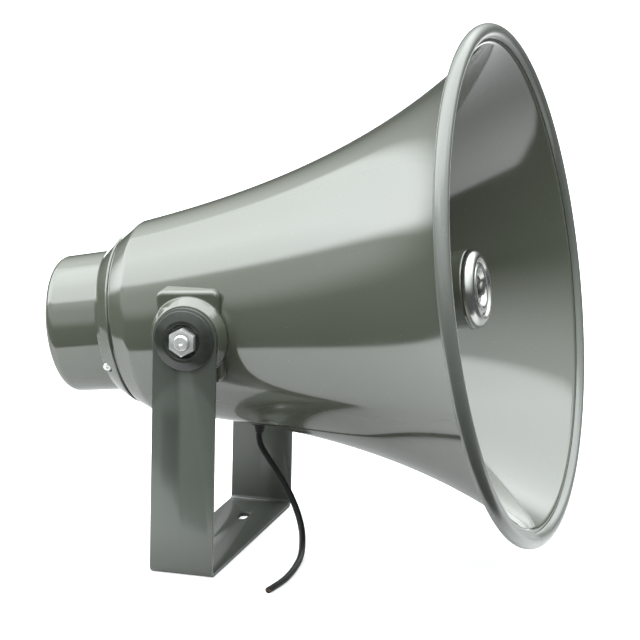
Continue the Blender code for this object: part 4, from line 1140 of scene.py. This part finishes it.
# Inside: the driver, the throat tube and their fasteners keep the forms of the CAD, and get the
# finish of what they are made of.
steel = dull("driver_steel", (0.34, 0.34, 0.33), (0.50, 0.50, 0.48), 0.34, 1.0, 90.0)
cast = dull("cast_metal", (0.24, 0.25, 0.24), (0.36, 0.37, 0.36), 0.48, 0.6, 50.0, 0.00008)
moulded = dull("black_plastic", (0.014, 0.014, 0.014), (0.026, 0.026, 0.026), 0.42)
brass = plated("brass", (0.70, 0.50, 0.20), 0.25)
inside = {
    "gasket": rubber,
    "diaphragm": dull("phenolic", (0.12, 0.05, 0.02), (0.20, 0.09, 0.04), 0.50, 0.0, 120.0, 0.00005),
    "phase_plug": moulded,
    "front_plate": steel,
    "magnet": dull("ferrite", (0.035, 0.035, 0.040), (0.060, 0.060, 0.065), 0.55, 0.0, 150.0),
    "yoke": steel,
    "terminal_block": moulded,
    "terminal_screw_1": brass,
    "terminal_screw_2": brass,
    "driver_lead": jacket,
    "throat_tube": cast,
    "spider": cast,
    "tie_spacer": zinc,
    "tie_nut": zinc,
}
for index in range(1, 5):
    inside[f"driver_screw_{index}"] = zinc
    inside[f"flange_screw_{index}"] = zinc
for node, material in inside.items():
    bpy.data.objects[node].data.materials[0] = material


# Studio: a pale sheet on a dark floor, a bright ceiling that fades towards the back, a tall white
# panel on the left and a dim room in front, all but the sheet in the world's light. The enamel
# mirrors all of it. What the camera itself sees of the floor and the room is white.
FLOOR_REACH = 6.0
SHEET_FRONT = (0.18, -0.115)  # a point of the sheet's front edge
SHEET_FRONT_WAY = (-0.40, 0.917)  # across that edge, into the sheet
SHEET_LEFT = (-0.21, -0.30)
SHEET_LEFT_WAY = (0.514, 0.857)
SHEET_RIGHT = (0.58, 0.05)
SHEET_RIGHT_WAY = (-1.0, 0.0)
SHEET_MIDDLE = (0.0, 0.0)
SHEET_REARWARDS = (-0.27, 0.96)
SHEET_TONE = (0.68, 0.68, 0.68)
# Painted shadow: the sheet is darker in its middle, behind and under the horn, for all but camera rays.
SHEET_PAINTED_SHADOW = (0.28, 0.28, 0.28)  # its darker middle, behind the horn
FLOOR_TONE = (0.045, 0.045, 0.045)
FLOOR_GLOW = 0.60
PANEL_LIGHT = 4.7
CEILING_LIGHT = 4.9
WALL_LIGHT = 2.1
DIM_LIGHT = 1.2
LEAST_LIGHT = 0.10
floor_data = bpy.data.meshes.new("floor")
corners = [(-FLOOR_REACH, -FLOOR_REACH, 0), (FLOOR_REACH, -FLOOR_REACH, 0)]
corners += [(FLOOR_REACH, FLOOR_REACH, 0), (-FLOOR_REACH, FLOOR_REACH, 0)]
floor_data.from_pydata(corners, [], [(0, 1, 2, 3)])
floor = bpy.data.objects.new("floor", floor_data)
bpy.context.scene.collection.objects.link(floor)
paper = finish("floor")
spot = paper.place()


def across_edge(corner, way):
    """How far the point on the floor lies inside that edge of the sheet, in metres."""
    return paper.measure("DOT_PRODUCT", spot - (*corner, 0.0), (*way, 0.0))


on_sheet = across_edge(SHEET_FRONT, SHEET_FRONT_WAY).step(-0.055, -0.025)
on_sheet = on_sheet * across_edge(SHEET_RIGHT, SHEET_RIGHT_WAY).step(-0.02, 0.02)
on_sheet = on_sheet * across_edge(SHEET_LEFT, SHEET_LEFT_WAY).step(-0.02, 0.02)
seen = paper.node("ShaderNodeLightPath", output="Is Camera Ray")
depth = across_edge(SHEET_MIDDLE, SHEET_REARWARDS)
# Painted shadow: the sheet's tone darkens towards its middle behind the horn, for all rays but the
# camera's.
painted_shadow = depth.step(-0.10, 0.14) * depth.step(1.3, 0.5) * (1 - seen)
tone = paper.mix(FLOOR_TONE, paper.mix(SHEET_TONE, SHEET_PAINTED_SHADOW, painted_shadow), on_sheet.most(seen))
sheet = paper.node("ShaderNodeBsdfDiffuse", None, {"Color": tone})
glow = paper.node("ShaderNodeEmission", None, {"Color": (1, 1, 1), "Strength": seen * FLOOR_GLOW})
both = paper.node("ShaderNodeAddShader", None, {0: sheet, 1: glow})
paper.node("ShaderNodeOutputMaterial", None, {"Surface": both})
floor_data.materials.append(paper.owner)

bpy.context.scene.world = bpy.data.worlds.new("studio")
room = Finish(bpy.context.scene.world)
way = room.node("ShaderNodeTexCoord", output="Generated")


def towards(normal):
    """How far the direction looks to that side, from -1 to 1."""
    return room.measure("DOT_PRODUCT", way, Vector(normal).normalized())


up = towards((0, 0, 1))
back = towards((0, 1, 0))
left = towards((-1, 0, 0))
panel = towards((0.17, 0.77, 1.0)).step(-0.06, 0.06) * towards((-0.93, -1.0, 0.0)).step(-0.05, 0.05)
panel = panel * (up - 0.45 * back.most(0.0)).step(-0.04, 0.16) * left.step(0.0, 0.1)
panel = panel * (PANEL_LIGHT - 4.2 * back.most(0.0))
ceiling = (up + 0.2 * back.least(0.0)).step(0.62, 0.78)
ceiling = ceiling.most(back.step(0.0, 0.5) * up.step(0.15, 0.55) * left.step(0.45, 0.0))
ceiling = ceiling * (CEILING_LIGHT - 2.4 * back.most(0.0))
dim = towards((-1, -1, 0)).step(0.55, 0.85) * up.step(-0.1, 0.2) * DIM_LIGHT
walls = up.step(-0.05, 0.75) * (WALL_LIGHT - back.step(0.4, 0.9) * left.step(0.0, 0.3))
light = panel.most(ceiling).most(dim).most(walls).most(LEAST_LIGHT)
seen = room.node("ShaderNodeLightPath", output="Is Camera Ray")
strength = seen + (1 - seen) * light
sky = room.node("ShaderNodeBackground", None, {"Color": (0.965, 1.0, 1.005), "Strength": strength})
room.node("ShaderNodeOutputWorld", None, {"Surface": sky})

bpy.context.scene.view_settings.view_transform = "Standard"
